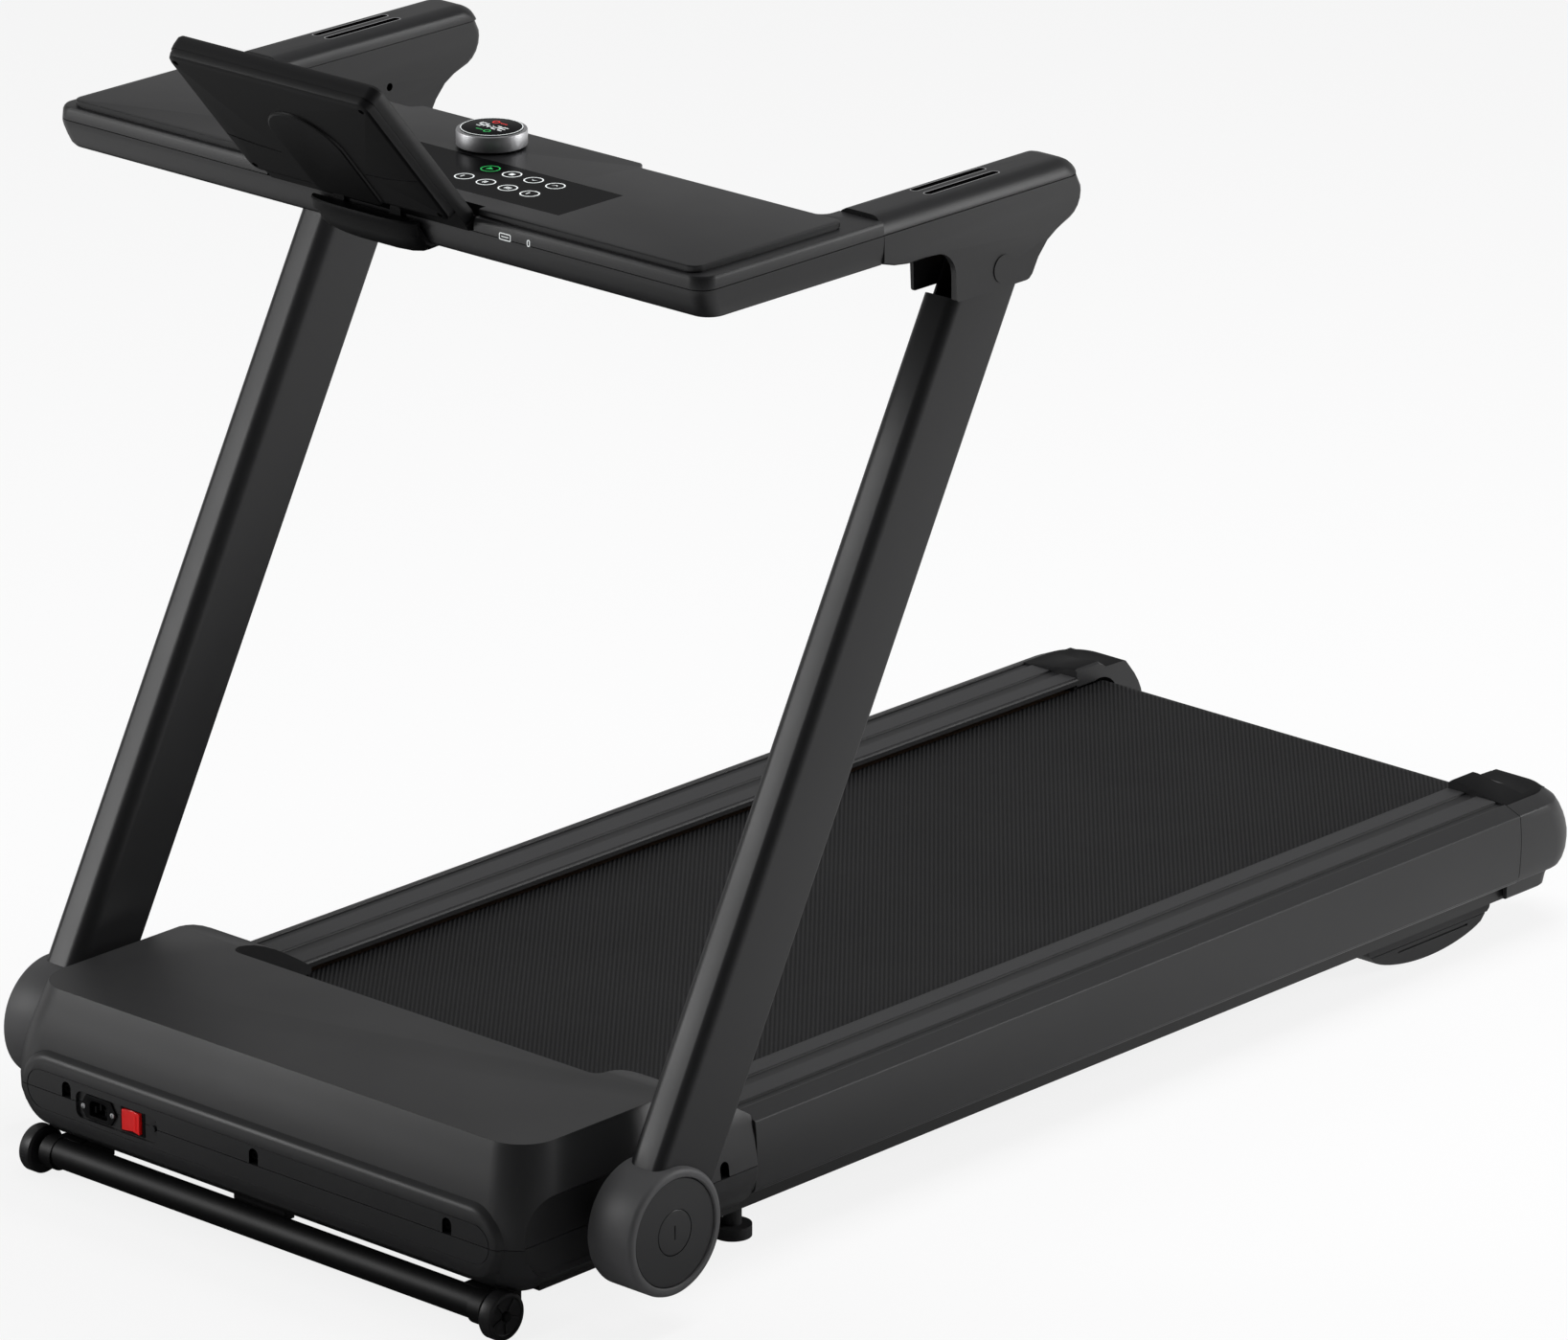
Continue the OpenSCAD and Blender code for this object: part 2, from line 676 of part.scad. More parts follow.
module transport_wheel() difference() {
    union() {
        bar_x(wheel_x0, wheel_x1, bar_y0, bar_z, wheel_d/2 - 1.5);
        bar_x(wheel_x0 + 2, wheel_x1 - 2, bar_y0, bar_z, wheel_d/2);
    }
    bar_x(wheel_x0 - 1, wheel_x1 + 1, bar_y0, bar_z, 5 + run_gap);
    bar_x(wheel_x1 - 2, wheel_x1 + 1, bar_y0, bar_z, wheel_d/2 - 7);
}

module transport_wheel_left() color(DARK) at_hub() side(-1) transport_wheel();
module transport_wheel_right() color(DARK) at_hub() side(1) transport_wheel();

// ---------- hubs and uprights ----------

crank_y = crank_l*cos(crank_a);
crank_z = crank_l*sin(crank_a);

// Fixed hub shafts: flange on the chassis, shaft, and a crank that anchors the link rod
module pivot_shafts() color(STEEL) at_hub() both() {
    block(chassis_out, chassis_out + 5, -34, 34, hub_z - 34, hub_z + 34);
    bar_x(chassis_out + 5, pocket_x + 3, 0, hub_z, shaft_r);
    bar_x(pocket_x + 3, pocket_x + 9, 0, hub_z, 11);
    translate([0, 0, hub_z]) rotate([crank_a, 0, 0])
        block(pocket_x + 3, pocket_x + 9, 0, crank_l, -5, 5);
    bar_x(pocket_x + 3, pocket_x + 9, crank_y, hub_z + crank_z, 7);
    bar_x(pocket_x + 9, rod_x + rod_eye_t/2 + 2, crank_y, hub_z + crank_z, rod_r);
}

// Round hub with a socket for the upright and a pocket for the crank
module hub() difference() {
    bar_x(hub_in, hub_out, 0, hub_z, hub_d/2);
    bar_x(hub_in - 1, pocket_x + 1, 0, hub_z, shaft_r + bush_t);
    bar_x(pocket_x, hub_out + 1, 0, hub_z, pocket_r);
    bar_x(hub_out - cap_t - 3, hub_out + 1, 0, hub_z, cap_r);
    on_post() translate([0, 0, post_s0]) linear_extrude(60) post_section();
    on_post() block(pocket_x, post_x + post_w/2 - post_wall, -post_d/2 + post_wall, post_d/2 - 12, 10, post_s0 + 1);
}

module hub_left() color(BLACK) at_hub() side(-1) hub();
module hub_right() color(BLACK) at_hub() side(1) hub();

// Cover disc with a cup behind it that guides the lock button
module hub_caps() color(BLACK) at_hub() both() difference() {
    union() {
        bar_x(hub_out - cap_t - 3, hub_out - 2, 0, hub_z, cap_r);
        bar_x(hub_out - 13.5, hub_out - cap_t - 3, 0, hub_z, button_r + 3);
    }
    bar_x(hub_out - 6.5 - button_travel, hub_out, 0, hub_z, button_r + part_gap);
    bar_x(hub_out - 20, hub_out, 0, hub_z, 9 + run_gap);
}

// Push button in the hub's centre that frees the fold lock
module lock_button() {
    bar_x(hub_out - 6, hub_out - 0.5, 0, hub_z, button_r);
    bar_x(hub_out - 16.5, hub_out - 6, 0, hub_z, 9);
}

module lock_button_left() color("#303031") at_hub() side(-1) lock_button();
module lock_button_right() color("#303031") at_hub() side(1) lock_button();

// Hollow tube, open at the front near the top so that the link rod can reach its pin
module post() on_post() difference() {
    translate([0, 0, post_s0]) linear_extrude(post_s1 - post_s0) post_section();
    translate([0, 0, post_s0 - 1]) linear_extrude(post_s1 - post_s0 + 2) post_section(post_wall);
    block(post_x - post_w/2 - 1, post_x + post_w/2 - post_wall, -post_d/2 - 1, -post_d/2 + 17.5,
        post_l - 44, post_s1 + 1);
    translate([post_x - post_w/2 - 1, 0, post_l]) rotate([0, 90, 0]) cylinder(h = post_w + 2, r = pin_r + bush_t);
}

module post_left() color(BLACK) at_hub() side(-1) post();
module post_right() color(BLACK) at_hub() side(1) post();

// Bushes: one in each hub for the shaft, one across the top of each upright
module pivot_bushes() color("#b08d57") at_hub() both() {
    difference() {
        bar_x(hub_in, pocket_x, 0, hub_z, shaft_r + bush_t);
        bar_x(hub_in - 1, pocket_x + 1, 0, hub_z, shaft_r + run_gap);
    }
    difference() {
        bar_x(post_x - post_w/2, post_x + post_w/2, pivot_y, pivot_z, pin_r + bush_t);
        bar_x(post_x - post_w/2 - 1, post_x + post_w/2 + 1, pivot_y, pivot_z, pin_r + run_gap);
    }
}

// Rods inside the uprights, from the hub crank to the console bracket
module link_rods() color(STEEL) at_hub() both() difference() {
    union() {
        for (p = [[0, hub_z], [pivot_y, pivot_z]])
            bar_x(rod_x - rod_eye_t/2, rod_x + rod_eye_t/2, p[0] + crank_y, p[1] + crank_z, rod_eye_r);
        translate([rod_x, crank_y, hub_z + crank_z]) rotate([-post_lean, 0, 0])
            translate([0, 0, rod_eye_r - 2]) cylinder(h = post_l - 2*rod_eye_r + 4, r = 2.8);
    }
    for (p = [[0, hub_z], [pivot_y, pivot_z]])
        bar_x(rod_x - 9, rod_x + 9, p[0] + crank_y, p[1] + crank_z, rod_r + run_gap);
}

// ---------- console ----------

// Side profile of the console body between two heights
module console_profile(z0, z1, g = 0) polygon([
    [console_y0 + g, z1], [console_y0 + g, seam_z - 4], [console_y0 + 13 + g, z0 + g],
    [console_y1 - g, z0 + g], [console_y1 - g, z1]]);

module console_plan(g = 0) {
    round_rect(-handle_out + g, console_y0 + g, handle_out - g, console_y1 - g, 18 - g);
    for (s = [-1, 1]) translate([s*(handle_out + handle_in)/2, console_y1])
        square([handle_w - 2*g, 2*(handle_y0 - console_y1)], center = true);
}

module console_body(z0, z1, g = 0) intersection() {
    translate([0, 0, z0 - 10]) linear_extrude(z1 - z0 + 20) console_plan(g);
    union() {
        along_x(-handle_out, handle_out) console_profile(z0, z1, g);
        block(-handle_out, handle_out, console_y1 - 25, handle_y0, z0 + g, z1);
    }
}

// Notch in the console's front edge where the tablet holder turns
module holder_notch(g = 0) block(-holder_w/2 - 3 - g, holder_w/2 + 3 + g, console_y0 - 5,
    holder_y + holder_r + 4 + g, holder_z - holder_r - 1.5 - g, plate_z + 5);

// Lower shell of the console, open at the top
module console_base() color(BLACK) at_hub() difference() {
    console_body(console_z0, seam_z - 0.1);
    difference() {
        console_body(console_z0, seam_z + 5, wall);
        holder_notch(wall);
    }
    holder_notch();
}

// Upper frame of the console, open below
module console_frame() color(BLACK) at_hub() difference() {
    intersection() {
        console_body(console_z0, console_z1);
        block(-500, 500, console_y0 - 1, handle_y0 + 1, seam_z + 0.1, console_z1);
    }
    intersection() {
        console_body(console_z0, console_z1, wall);
        difference() {
            block(-500, 500, console_y0 - 1, handle_y0 + 1, console_z0, console_z1 - wall);
            holder_notch(wall);
        }
    }
    holder_notch();
}

// Thin raised plate, deeper at the middle of its rear edge
module top_plate() color("#303031") at_hub() difference() {
    translate([0, 0, console_z1]) linear_extrude(plate_t) {
        round_rect(-plate_x, console_y0 + 7, plate_x, console_y1 - 17, 5);
        round_rect(-147, console_y1 - 60, 147, console_y1 - 7, 4);
    }
    panel_slab(0.1);
    holder_notch();
}

// Glass panel to one side of the middle, with one slanting edge
module panel_slab(g) translate([0, 0, plate_z - 1.5]) linear_extrude(1.5 + g) polygon([
    [console_d*0.3 - g, console_y0 + 39 - g], [204 + g, console_y0 + 39 - g],
    [204 + g, console_y0 + 128 + g], [-console_d*0.28 - g, console_y0 + 128 + g]]);

module touch_panel() color("#0c0c0d") at_hub() panel_slab(0);

// Fixed centre of the knob with its round glass display
module knob_display() color("#0c0c0d") at_hub() translate([0, knob_y, plate_z]) {
    cylinder(h = 1.5, r = knob_d/2 - 2);
    cylinder(h = knob_h, r = knob_d/2 - 5);
}

module knob_ring() color("silver") at_hub() translate([0, knob_y, plate_z]) difference() {
    translate([0, 0, 2]) cylinder(h = knob_h - 3.5, r = knob_d/2);
    cylinder(h = knob_h + 1, r = knob_d/2 - 5 + run_gap);
}

// Side profile of a handle's lower shell: nose, throat and the skirt round the upright
module bracket_profile() {
    fillet = 29;
    under = pivot_z + 33;
    nose = 34;
    polygon(concat(
        [[handle_y0, seam_z], [handle_y0, console_z0], [bracket_y0 - fillet, under]],
        arc(bracket_y0 - fillet, under - fillet, fillet, 90, 0, 8),
        [[bracket_y0, bracket_z0], [bracket_y1 - 3, bracket_z0], [bracket_y1, bracket_z0 + 3]],
        arc(bracket_y1 + 59, bracket_z0 - 4, 58, 160, 130, 6),
        arc(handle_y1 - nose, seam_z - 4, nose, -70, 0, 8),
        [[handle_y1, seam_z]]));
}

module handle_plan(g = 0) round_end(handle_in + g, handle_out - g, handle_y0, handle_y1 + 2 - g);

// Lower shells of the handles: channels open below, so the uprights can fold up into them
module handle_brackets() color(BLACK) at_hub() both() difference() {
    intersection() {
        along_x(handle_in, handle_out) bracket_profile();
        translate([0, 0, bracket_z0 - 5]) linear_extrude(120) handle_plan();
    }
    intersection() {
        union() {
            block(handle_in, handle_out, bracket_y0 - 36, bracket_y1 + 13, pivot_z - 10, seam_z + 5);
            block(handle_in, handle_out, bracket_y0 - 36, bracket_y1 - tail_wall, bracket_z0 - 5, seam_z + 5);
        }
        translate([0, 0, bracket_z0 - 5]) linear_extrude(120) handle_plan(bracket_wall);
    }
    block(handle_in + bracket_wall, handle_out - bracket_wall, handle_y0 + 4, bracket_y0 - 40,
        console_z0 + 4, seam_z + 5);
    block(handle_in + bracket_wall, handle_out - bracket_wall, bracket_y1 + 17, handle_y1 - 22,
        seam_z - 24, seam_z + 5);
    bar_x(handle_in - 1, handle_out + 1, pivot_y, pivot_z, pin_r);
    bar_x(handle_in, handle_in + 10, pivot_y + crank_y, pivot_z + crank_z, rod_r);
}

// Upper shells of the handles with slots for the pulse sensors
module handle_covers() color(BLACK) at_hub() both() difference() {
    nose = 34;
    low = seam_z + 0.2;
    intersection() {
        along_x(handle_in, handle_out) polygon(concat([[handle_y0, low], [handle_y0, handle_z1]],
            arc(handle_y1 - nose, handle_z1 - nose, nose, 90, asin(1 - (handle_z1 - low)/nose), 8)));
        translate([0, 0, seam_z - 5]) linear_extrude(60) handle_plan();
        along_y(handle_y0 - 1, handle_y1 + 5) round_rect(handle_in, seam_z - 20, handle_out, handle_z1, 8);
    }
    translate([0, 0, seam_z - 1]) linear_extrude(handle_z1 - seam_z - 2.5)
        round_end(handle_in + bracket_wall, handle_out - bracket_wall, handle_y0 + 4, handle_y1 - 14);
    sensors(0);
}

module pulse_sensors() color("silver") at_hub() both() sensors(0.2);

module sensors(g) for (x = [-8.4, 8.4])
    translate([(handle_in + handle_out)/2 - 2.5 + x, 0, handle_z1 - 1.5]) linear_extrude(1.8)
        round_rect(-4 + g, pivot_y - 84 + g, 4 - g, pivot_y + 17 - g, 3.9 - g);

// Console pivot pins with a round cap on the outer side, and the link rods' upper pins
module pivot_pins() color(STEEL) at_hub() both() {
    bar_x(handle_in, handle_out, pivot_y, pivot_z, pin_r);
    bar_x(handle_out, handle_out + 1, pivot_y, pivot_z, 13.5);
    bar_x(handle_in, rod_x + rod_eye_t/2 + 2, pivot_y + crank_y, pivot_z + crank_z, rod_r);
}

// ---------- tablet holder ----------

// Frame of the holder: origin on its hinge line, local Z up its slope, local Y to the runner
module on_holder() translate([0, holder_y, holder_z]) rotate([holder_lean, 0, 0]) children();

module lug_slots(g) for (s = [-1, 1])
    translate([s*(lug_x + lug_w/2) - lug_w/2 - g, 0, 0]) children();

// Slab with a raised back, a round lower edge on the hinge and a ledge for the tablet
module tablet_holder() color("#2a2a2b") at_hub() on_holder() difference() {
    union() {
        intersection() {
            translate([0, holder_r, 0]) rotate([90, 0, 0]) linear_extrude(holder_t)
                round_rect(-holder_w/2, 0, holder_w/2, holder_h, 12);
            along_x(-holder_w/2, holder_w/2) polygon([
                [-holder_r, 0], [-holder_r, holder_h - 6], [-holder_r + 5, holder_h], [holder_r - 4, holder_h],
                [holder_r, holder_h - 4], [holder_r, 0]]);
        }
        translate([0, -holder_r + 1, 0]) rotate([90, 0, 0]) linear_extrude(holder_back + 1)
            round_rect(-holder_w/2 + 2, holder_back_z, holder_w/2 - 2, holder_h - 6, 10);
        bar_x(-holder_w/2 + 2, holder_w/2 - 2, 0, 0, holder_r);
        block(-90, 90, holder_r - 1, holder_r + 14, 14, 18);
        block(-90, 90, holder_r + 11, holder_r + 14, 14, 24);
    }
    block(-holder_w/2 + 10, holder_w/2 - 10, holder_r - 2, holder_r + 5, 26, holder_h - 10);
    lug_slots(part_gap) block(0, lug_w + 2*part_gap, -20, 12, -20, 13);
    bar_x(-holder_w, holder_w, 0, 0, holder_pin_r + run_gap);
}

// Saddle under the console's front edge, with two lugs and the hinge pin
module holder_mount() color("#2a2a2b") at_hub() {
    difference() {
        intersection() {
            along_x(-66, 66) polygon(concat(
                [[holder_y + 40, console_z0 + 20], [holder_y + 40, console_z0 - 6]],
                arc(holder_y + 6, console_z0 + 4, 14, -90, -180, 8),
                [[holder_y - 8, holder_z - holder_r - 2], [holder_y + 5, holder_z - holder_r - 2],
                 [holder_y + 5, console_z0 + 20]]));
            translate([0, 0, console_z0 - 20]) linear_extrude(80)
                round_rect(-66, holder_y - 12, 66, holder_y + 46, 7);
        }
        console_body(console_z0, console_z1);
    }
    lug_slots(0) difference() {
        union() {
            bar_x(0, lug_w, holder_y, holder_z, lug_r);
            block(0, lug_w, holder_y - 8, holder_y + 3, holder_z - holder_r - 2.5, holder_z);
        }
        holder_clear();
    }
    bar_x(-lug_x - lug_w - 6, lug_x + lug_w + 6, holder_y, holder_z, holder_pin_r);
}

module holder_clear() difference() {
    console_body(console_z0, console_z1);
    holder_notch();
}

frame_rail_left();
frame_rail_right();
crossmembers();
deck_board();
deck_cushions();
running_belt();
roller_axles();
front_roller();
front_roller_bearings();
roller_pulley();
rear_roller();
rear_roller_bearings();
tension_bolts();
motor();
motor_pulley();
motor_bracket();
drive_belt();
controller();
hood_cover();
hood_pan();
cover_screws();
power_inlet();
switch_frame();
switch_rocker();
reset_breaker();
reset_button();
side_skirt_left();
side_skirt_right();
rail_cover_left();
rail_cover_right();
grip_strips();
rear_cap_left();
rear_cap_right();
rear_feet();
front_feet();
transport_bar();
transport_wheel_left();
transport_wheel_right();
pivot_shafts();
post_left();
post_right();
hub_left();
hub_right();
hub_caps();
pivot_bushes();
lock_button_left();
lock_button_right();
link_rods();
console_base();
console_frame();
top_plate();
touch_panel();
handle_brackets();
handle_covers();
pulse_sensors();
pivot_pins();
holder_mount();
tablet_holder();
knob_display();
knob_ring();
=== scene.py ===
# %% [markdown]
# # A folding treadmill, step by step
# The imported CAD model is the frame: its bodies carry every piece made here. Places are
# given in millimetres in the machine's own workshop frame, whose Y starts at the hub
# shafts, because every part of a treadmill is set out from there.

# %% Load the frame
import bpy
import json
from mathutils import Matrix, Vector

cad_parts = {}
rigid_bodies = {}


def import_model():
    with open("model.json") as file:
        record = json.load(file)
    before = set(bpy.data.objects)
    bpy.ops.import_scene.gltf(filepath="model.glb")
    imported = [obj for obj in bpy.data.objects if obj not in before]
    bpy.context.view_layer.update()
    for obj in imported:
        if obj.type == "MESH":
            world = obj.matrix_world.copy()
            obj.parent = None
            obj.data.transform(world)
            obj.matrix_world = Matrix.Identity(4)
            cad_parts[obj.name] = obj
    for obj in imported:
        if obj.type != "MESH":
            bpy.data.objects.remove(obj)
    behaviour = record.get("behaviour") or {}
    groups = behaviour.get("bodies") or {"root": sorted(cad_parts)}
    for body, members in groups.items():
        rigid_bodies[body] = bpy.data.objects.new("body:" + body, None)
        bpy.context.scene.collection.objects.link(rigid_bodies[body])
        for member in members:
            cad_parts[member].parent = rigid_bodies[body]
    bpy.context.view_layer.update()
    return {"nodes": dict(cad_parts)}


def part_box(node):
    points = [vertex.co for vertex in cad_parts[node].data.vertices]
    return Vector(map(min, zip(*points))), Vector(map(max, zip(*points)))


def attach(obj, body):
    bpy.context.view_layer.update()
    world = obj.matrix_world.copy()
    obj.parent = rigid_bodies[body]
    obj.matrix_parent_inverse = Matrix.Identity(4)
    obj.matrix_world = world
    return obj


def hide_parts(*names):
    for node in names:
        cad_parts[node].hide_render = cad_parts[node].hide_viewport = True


for startup in list(bpy.data.objects):
    bpy.data.objects.remove(startup)
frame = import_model()

import json
from math import acos, cos, pi, radians, sin
from mathutils import Matrix, Vector

def in_mm(corners):
    return [[v * 1000 for v in corner] for corner in corners]

hub_low, hub_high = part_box("hub_right")
HUB_Y = (hub_low[1] + hub_high[1]) / 2
HUB_Z = (hub_low[2] + hub_high[2]) * 500
nodes = frame["nodes"]
print(len(nodes), "CAD nodes; the hub shafts lie at y", round(HUB_Y, 4), "m, z", round(HUB_Z, 1), "mm")

# %% [markdown]
# The camera stands well back with a long lens, so the deck hardly narrows with distance.

# %% Camera
LOOKS_DOWN, LOOKS_ROUND = 19.147, 42.638
LENS = 241.06
camera = bpy.data.objects.new("camera", bpy.data.cameras.new("camera"))
bpy.context.scene.collection.objects.link(camera)
camera.location = (6.63053, -6.59406 + HUB_Y, 3.80036)
camera.rotation_euler = (radians(90 - LOOKS_DOWN), 0, radians(LOOKS_ROUND))
camera.data.sensor_width = 36
camera.data.lens = LENS
camera.data.clip_end = 100
bpy.context.scene.camera = camera
bpy.context.scene.view_settings.view_transform = "Standard"
print("camera at", [round(v, 2) for v in camera.location])

# %% [markdown]
# ## Tools of the bench
# Almost every cover on this machine is a moulding that can be drawn as a few outlines
# and skinned over. A loft does that by hand: a circle primitive is filled, pulled to the
# first outline, then extruded and pulled to each of the next ones.

# %% Selecting and finishing helpers
SAME_SPOT = 0.00001
SMOOTH_BELOW = 32

def at(p):
    return Vector((p[0] / 1000, p[1] / 1000 + HUB_Y, p[2] / 1000))

def only(*objs):
    if bpy.context.mode != "OBJECT":
        bpy.ops.object.mode_set(mode="OBJECT")
    bpy.ops.object.select_all(action="DESELECT")
    for o in objs:
        o.select_set(True)
    bpy.context.view_layer.objects.active = objs[0]
    return objs[0]

def edit(o):
    only(o)
    bpy.ops.object.mode_set(mode="EDIT")
    bpy.ops.mesh.select_all(action="SELECT")

def apply(o, kind, **settings):
    m = o.modifiers.new(kind.lower(), kind)
    for k, v in settings.items():
        setattr(m, k, v)
    only(o)
    bpy.ops.object.modifier_apply(modifier=m.name)
    return o

def soften(o, width, segments=3, angle=30):
    return apply(o, "BEVEL", width=width / 1000, segments=segments, limit_method="ANGLE",
                 angle_limit=radians(angle), use_clamp_overlap=True)

def cut(o, *tools, how="DIFFERENCE"):
    for t in tools:
        apply(o, "BOOLEAN", operation=how, object=t, solver="EXACT")
        bpy.data.objects.remove(t)
    return o

def merge(*objs):
    only(*objs)
    bpy.ops.object.join()
    return bpy.context.object

def tidy(o, angle=SMOOTH_BELOW):
    edit(o)
    bpy.ops.mesh.remove_doubles(threshold=SAME_SPOT)
    bpy.ops.mesh.normals_make_consistent(inside=False)
    only(o)
    bpy.ops.object.shade_smooth_by_angle(angle=radians(angle))
    return o

def loft(*loops):
    """Skins a run of closed outlines that all have as many points; both ends are closed."""
    if bpy.context.mode != "OBJECT":
        bpy.ops.object.mode_set(mode="OBJECT")
    bpy.ops.object.select_all(action="DESELECT")
    bpy.ops.mesh.primitive_circle_add(vertices=len(loops[0]), radius=1, fill_type="NGON")
    o = bpy.context.object
    spots = {}
    for v, p in zip(o.data.vertices, loops[0]):
        v.co = at(p)
        spots[tuple(v.co)] = v.index
    for loop in loops[1:]:
        edit(o)
        if len(o.data.polygons) > 1:
            bpy.ops.mesh.select_all(action="DESELECT")
            bpy.ops.object.mode_set(mode="OBJECT")
            o.data.polygons[last].select = True
            bpy.ops.object.mode_set(mode="EDIT")
        bpy.ops.mesh.extrude_region_move()
        bpy.ops.object.mode_set(mode="OBJECT")
        moved = {}
        for v in o.data.vertices:
            if v.select:
                k = spots[tuple(v.co)]
                v.co = at(loop[k])
                moved[tuple(v.co)] = k
        spots = moved
        last = next(f.index for f in o.data.polygons if f.select)
    return tidy(o)

def finish(o, name, body, paint, *stands_for, angle=SMOOTH_BELOW):
    """Names and paints a piece, and says which body carries it and which CAD nodes it replaces."""
    tidy(o, angle)
    o.name = o.data.name = name
    o.data.materials.clear()
    o.data.materials.append(paint)
    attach(o, body)
    if stands_for:
        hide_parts(*stands_for)
    return o

def flipped(o):
    edit(o)
    bpy.ops.transform.resize(value=(-1, 1, 1), center_override=(0, 0, 0))
    bpy.ops.mesh.normals_make_consistent(inside=False)
    return only(o)

def mirrored(o):
    only(o)
    bpy.ops.object.duplicate()
    return flipped(bpy.context.object)

def finish_pair(right, name, body, paint, cad_name, angle=SMOOTH_BELOW):
    """Finishes a right-hand piece and its mirror image; {} in a name stands for the side."""
    left = mirrored(right)
    for o, side in ((right, "right"), (left, "left")):
        finish(o, name.format(side), body.format(side), paint, cad_name.format(side), angle=angle)
    return right, left

# %% Outline helpers
def arc(cx, cy, r, a0, a1, n=8):
    return [(cx + r * cos(radians(a0 + (a1 - a0) * i / n)),
             cy + r * sin(radians(a0 + (a1 - a0) * i / n))) for i in range(n + 1)]

def rounded(x0, y0, x1, y1, r, n=8):
    """Rounded rectangle; r is one radius or four, from the low corner onwards."""
    r = r if isinstance(r, (tuple, list)) else (r,) * 4
    return (arc(x0 + r[0], y0 + r[0], r[0], 180, 270, n) + arc(x1 - r[1], y0 + r[1], r[1], 270, 360, n)
            + arc(x1 - r[2], y1 - r[2], r[2], 0, 90, n) + arc(x0 + r[3], y1 - r[3], r[3], 90, 180, n))

def flat(outline, z):
    return [(x, y, z) for x, y in outline]

def side_on(outline, x):
    return [(x, y, z) for y, z in outline]

def end_on(outline, y):
    return [(x, y, z) for x, z in outline]

def slab(outline, z0, z1):
    return loft(flat(outline, z0), flat(outline, z1))

def along_x(outline, x0, x1):
    return loft(side_on(outline, x0), side_on(outline, x1))

def along_y(outline, y0, y1):
    return loft(end_on(outline, y0), end_on(outline, y1))

def box(x0, x1, y0, y1, z0, z1):
    return slab([(x0, y0), (x1, y0), (x1, y1), (x0, y1)], z0, z1)

def side_box(side, x0, x1, *places):
    """A box on the right where side is 1, and at its mirror place where side is -1."""
    return box(*sorted((x0 * side, x1 * side)), *places)

def turned_x(profile, y, z, n=64):
    """A piece turned about a line along X; the profile lists (x, radius)."""
    return loft(*[[(x, y + r * cos(2 * pi * i / n), z + r * sin(2 * pi * i / n)) for i in range(n)]
                  for x, r in profile])

def turned_z(profile, x, y, n=64):
    return loft(*[[(x + r * cos(2 * pi * i / n), y + r * sin(2 * pi * i / n), z) for i in range(n)]
                  for z, r in profile])

def turned_y(profile, x, z, n=48):
    return loft(*[[(x + r * cos(2 * pi * i / n), y, z + r * sin(2 * pi * i / n)) for i in range(n)]
                  for y, r in profile])
print("bench ready")

# %% [markdown]
# ## Finishes
# The whole machine is black, so the finishes differ only in grain, gloss and shade. Each
# one is a Principled shader: a fine noise in metres gives the moulded or powder-coated
# grain through Bump, and a slow one makes gloss and shade drift a little, as they do on
# real mouldings.

# %% Material builder
FINE_DETAIL, SLOW_DETAIL = 3, 5
SLOW_SCALE = 7
GRAIN_DEPTH = 0.0004

def shade(hex_colour):
    c = [int(hex_colour[i:i + 2], 16) / 255 for i in (0, 2, 4)]
    return [v / 12.92 if v <= 0.04045 else ((v + 0.055) / 1.055) ** 2.4 for v in c] + [1]

def node(tree, kind, **values):
    """Adds a shader node and sets its inputs, whose names are written with _ for a space."""
    n = tree.nodes.new("ShaderNode" + kind)
    for name, value in values.items():
        n.inputs[name.replace("_", " ")].default_value = value
    return n

def material(name, slot, colour, rough, grain=900, bump=0.12, drift=0.12, metal=0.0,
             specular=0.5, stretch=(1, 1, 1), wander=0.04):
    """drift is the spread of the gloss over the piece, and wander the spread of the shade."""
    m = bpy.data.materials.new(name)
    m["slot"] = slot
    m.use_nodes = True
    tree = m.node_tree
    shader = tree.nodes["Principled BSDF"]
    shader.inputs["Metallic"].default_value = metal
    shader.inputs["Specular IOR Level"].default_value = specular
    link = tree.links.new
    spot = node(tree, "TexCoord")
    stretched = node(tree, "Mapping", Scale=stretch)
    link(spot.outputs["Object"], stretched.inputs["Vector"])
    fine = node(tree, "TexNoise", Scale=grain, Detail=FINE_DETAIL)
    link(stretched.outputs["Vector"], fine.inputs["Vector"])
    slow = node(tree, "TexNoise", Scale=SLOW_SCALE, Detail=SLOW_DETAIL)
    link(spot.outputs["Object"], slow.inputs["Vector"])
    height = node(tree, "Bump", Strength=bump, Distance=GRAIN_DEPTH)
    link(fine.outputs["Fac"], height.inputs["Height"])
    link(height.outputs["Normal"], shader.inputs["Normal"])
    gloss = node(tree, "MapRange", To_Min=rough - drift / 2, To_Max=rough + drift / 2)
    link(slow.outputs["Fac"], gloss.inputs["Value"])
    link(gloss.outputs["Result"], shader.inputs["Roughness"])
    darker, lighter = [[v * (1 + w) for v in shade(colour)[:3]] + [1] for w in (-wander, wander)]
    tone = node(tree, "MixRGB", Color1=darker, Color2=lighter)
    link(slow.outputs["Fac"], tone.inputs["Fac"])
    link(tone.outputs["Color"], shader.inputs["Base Color"])
    return m

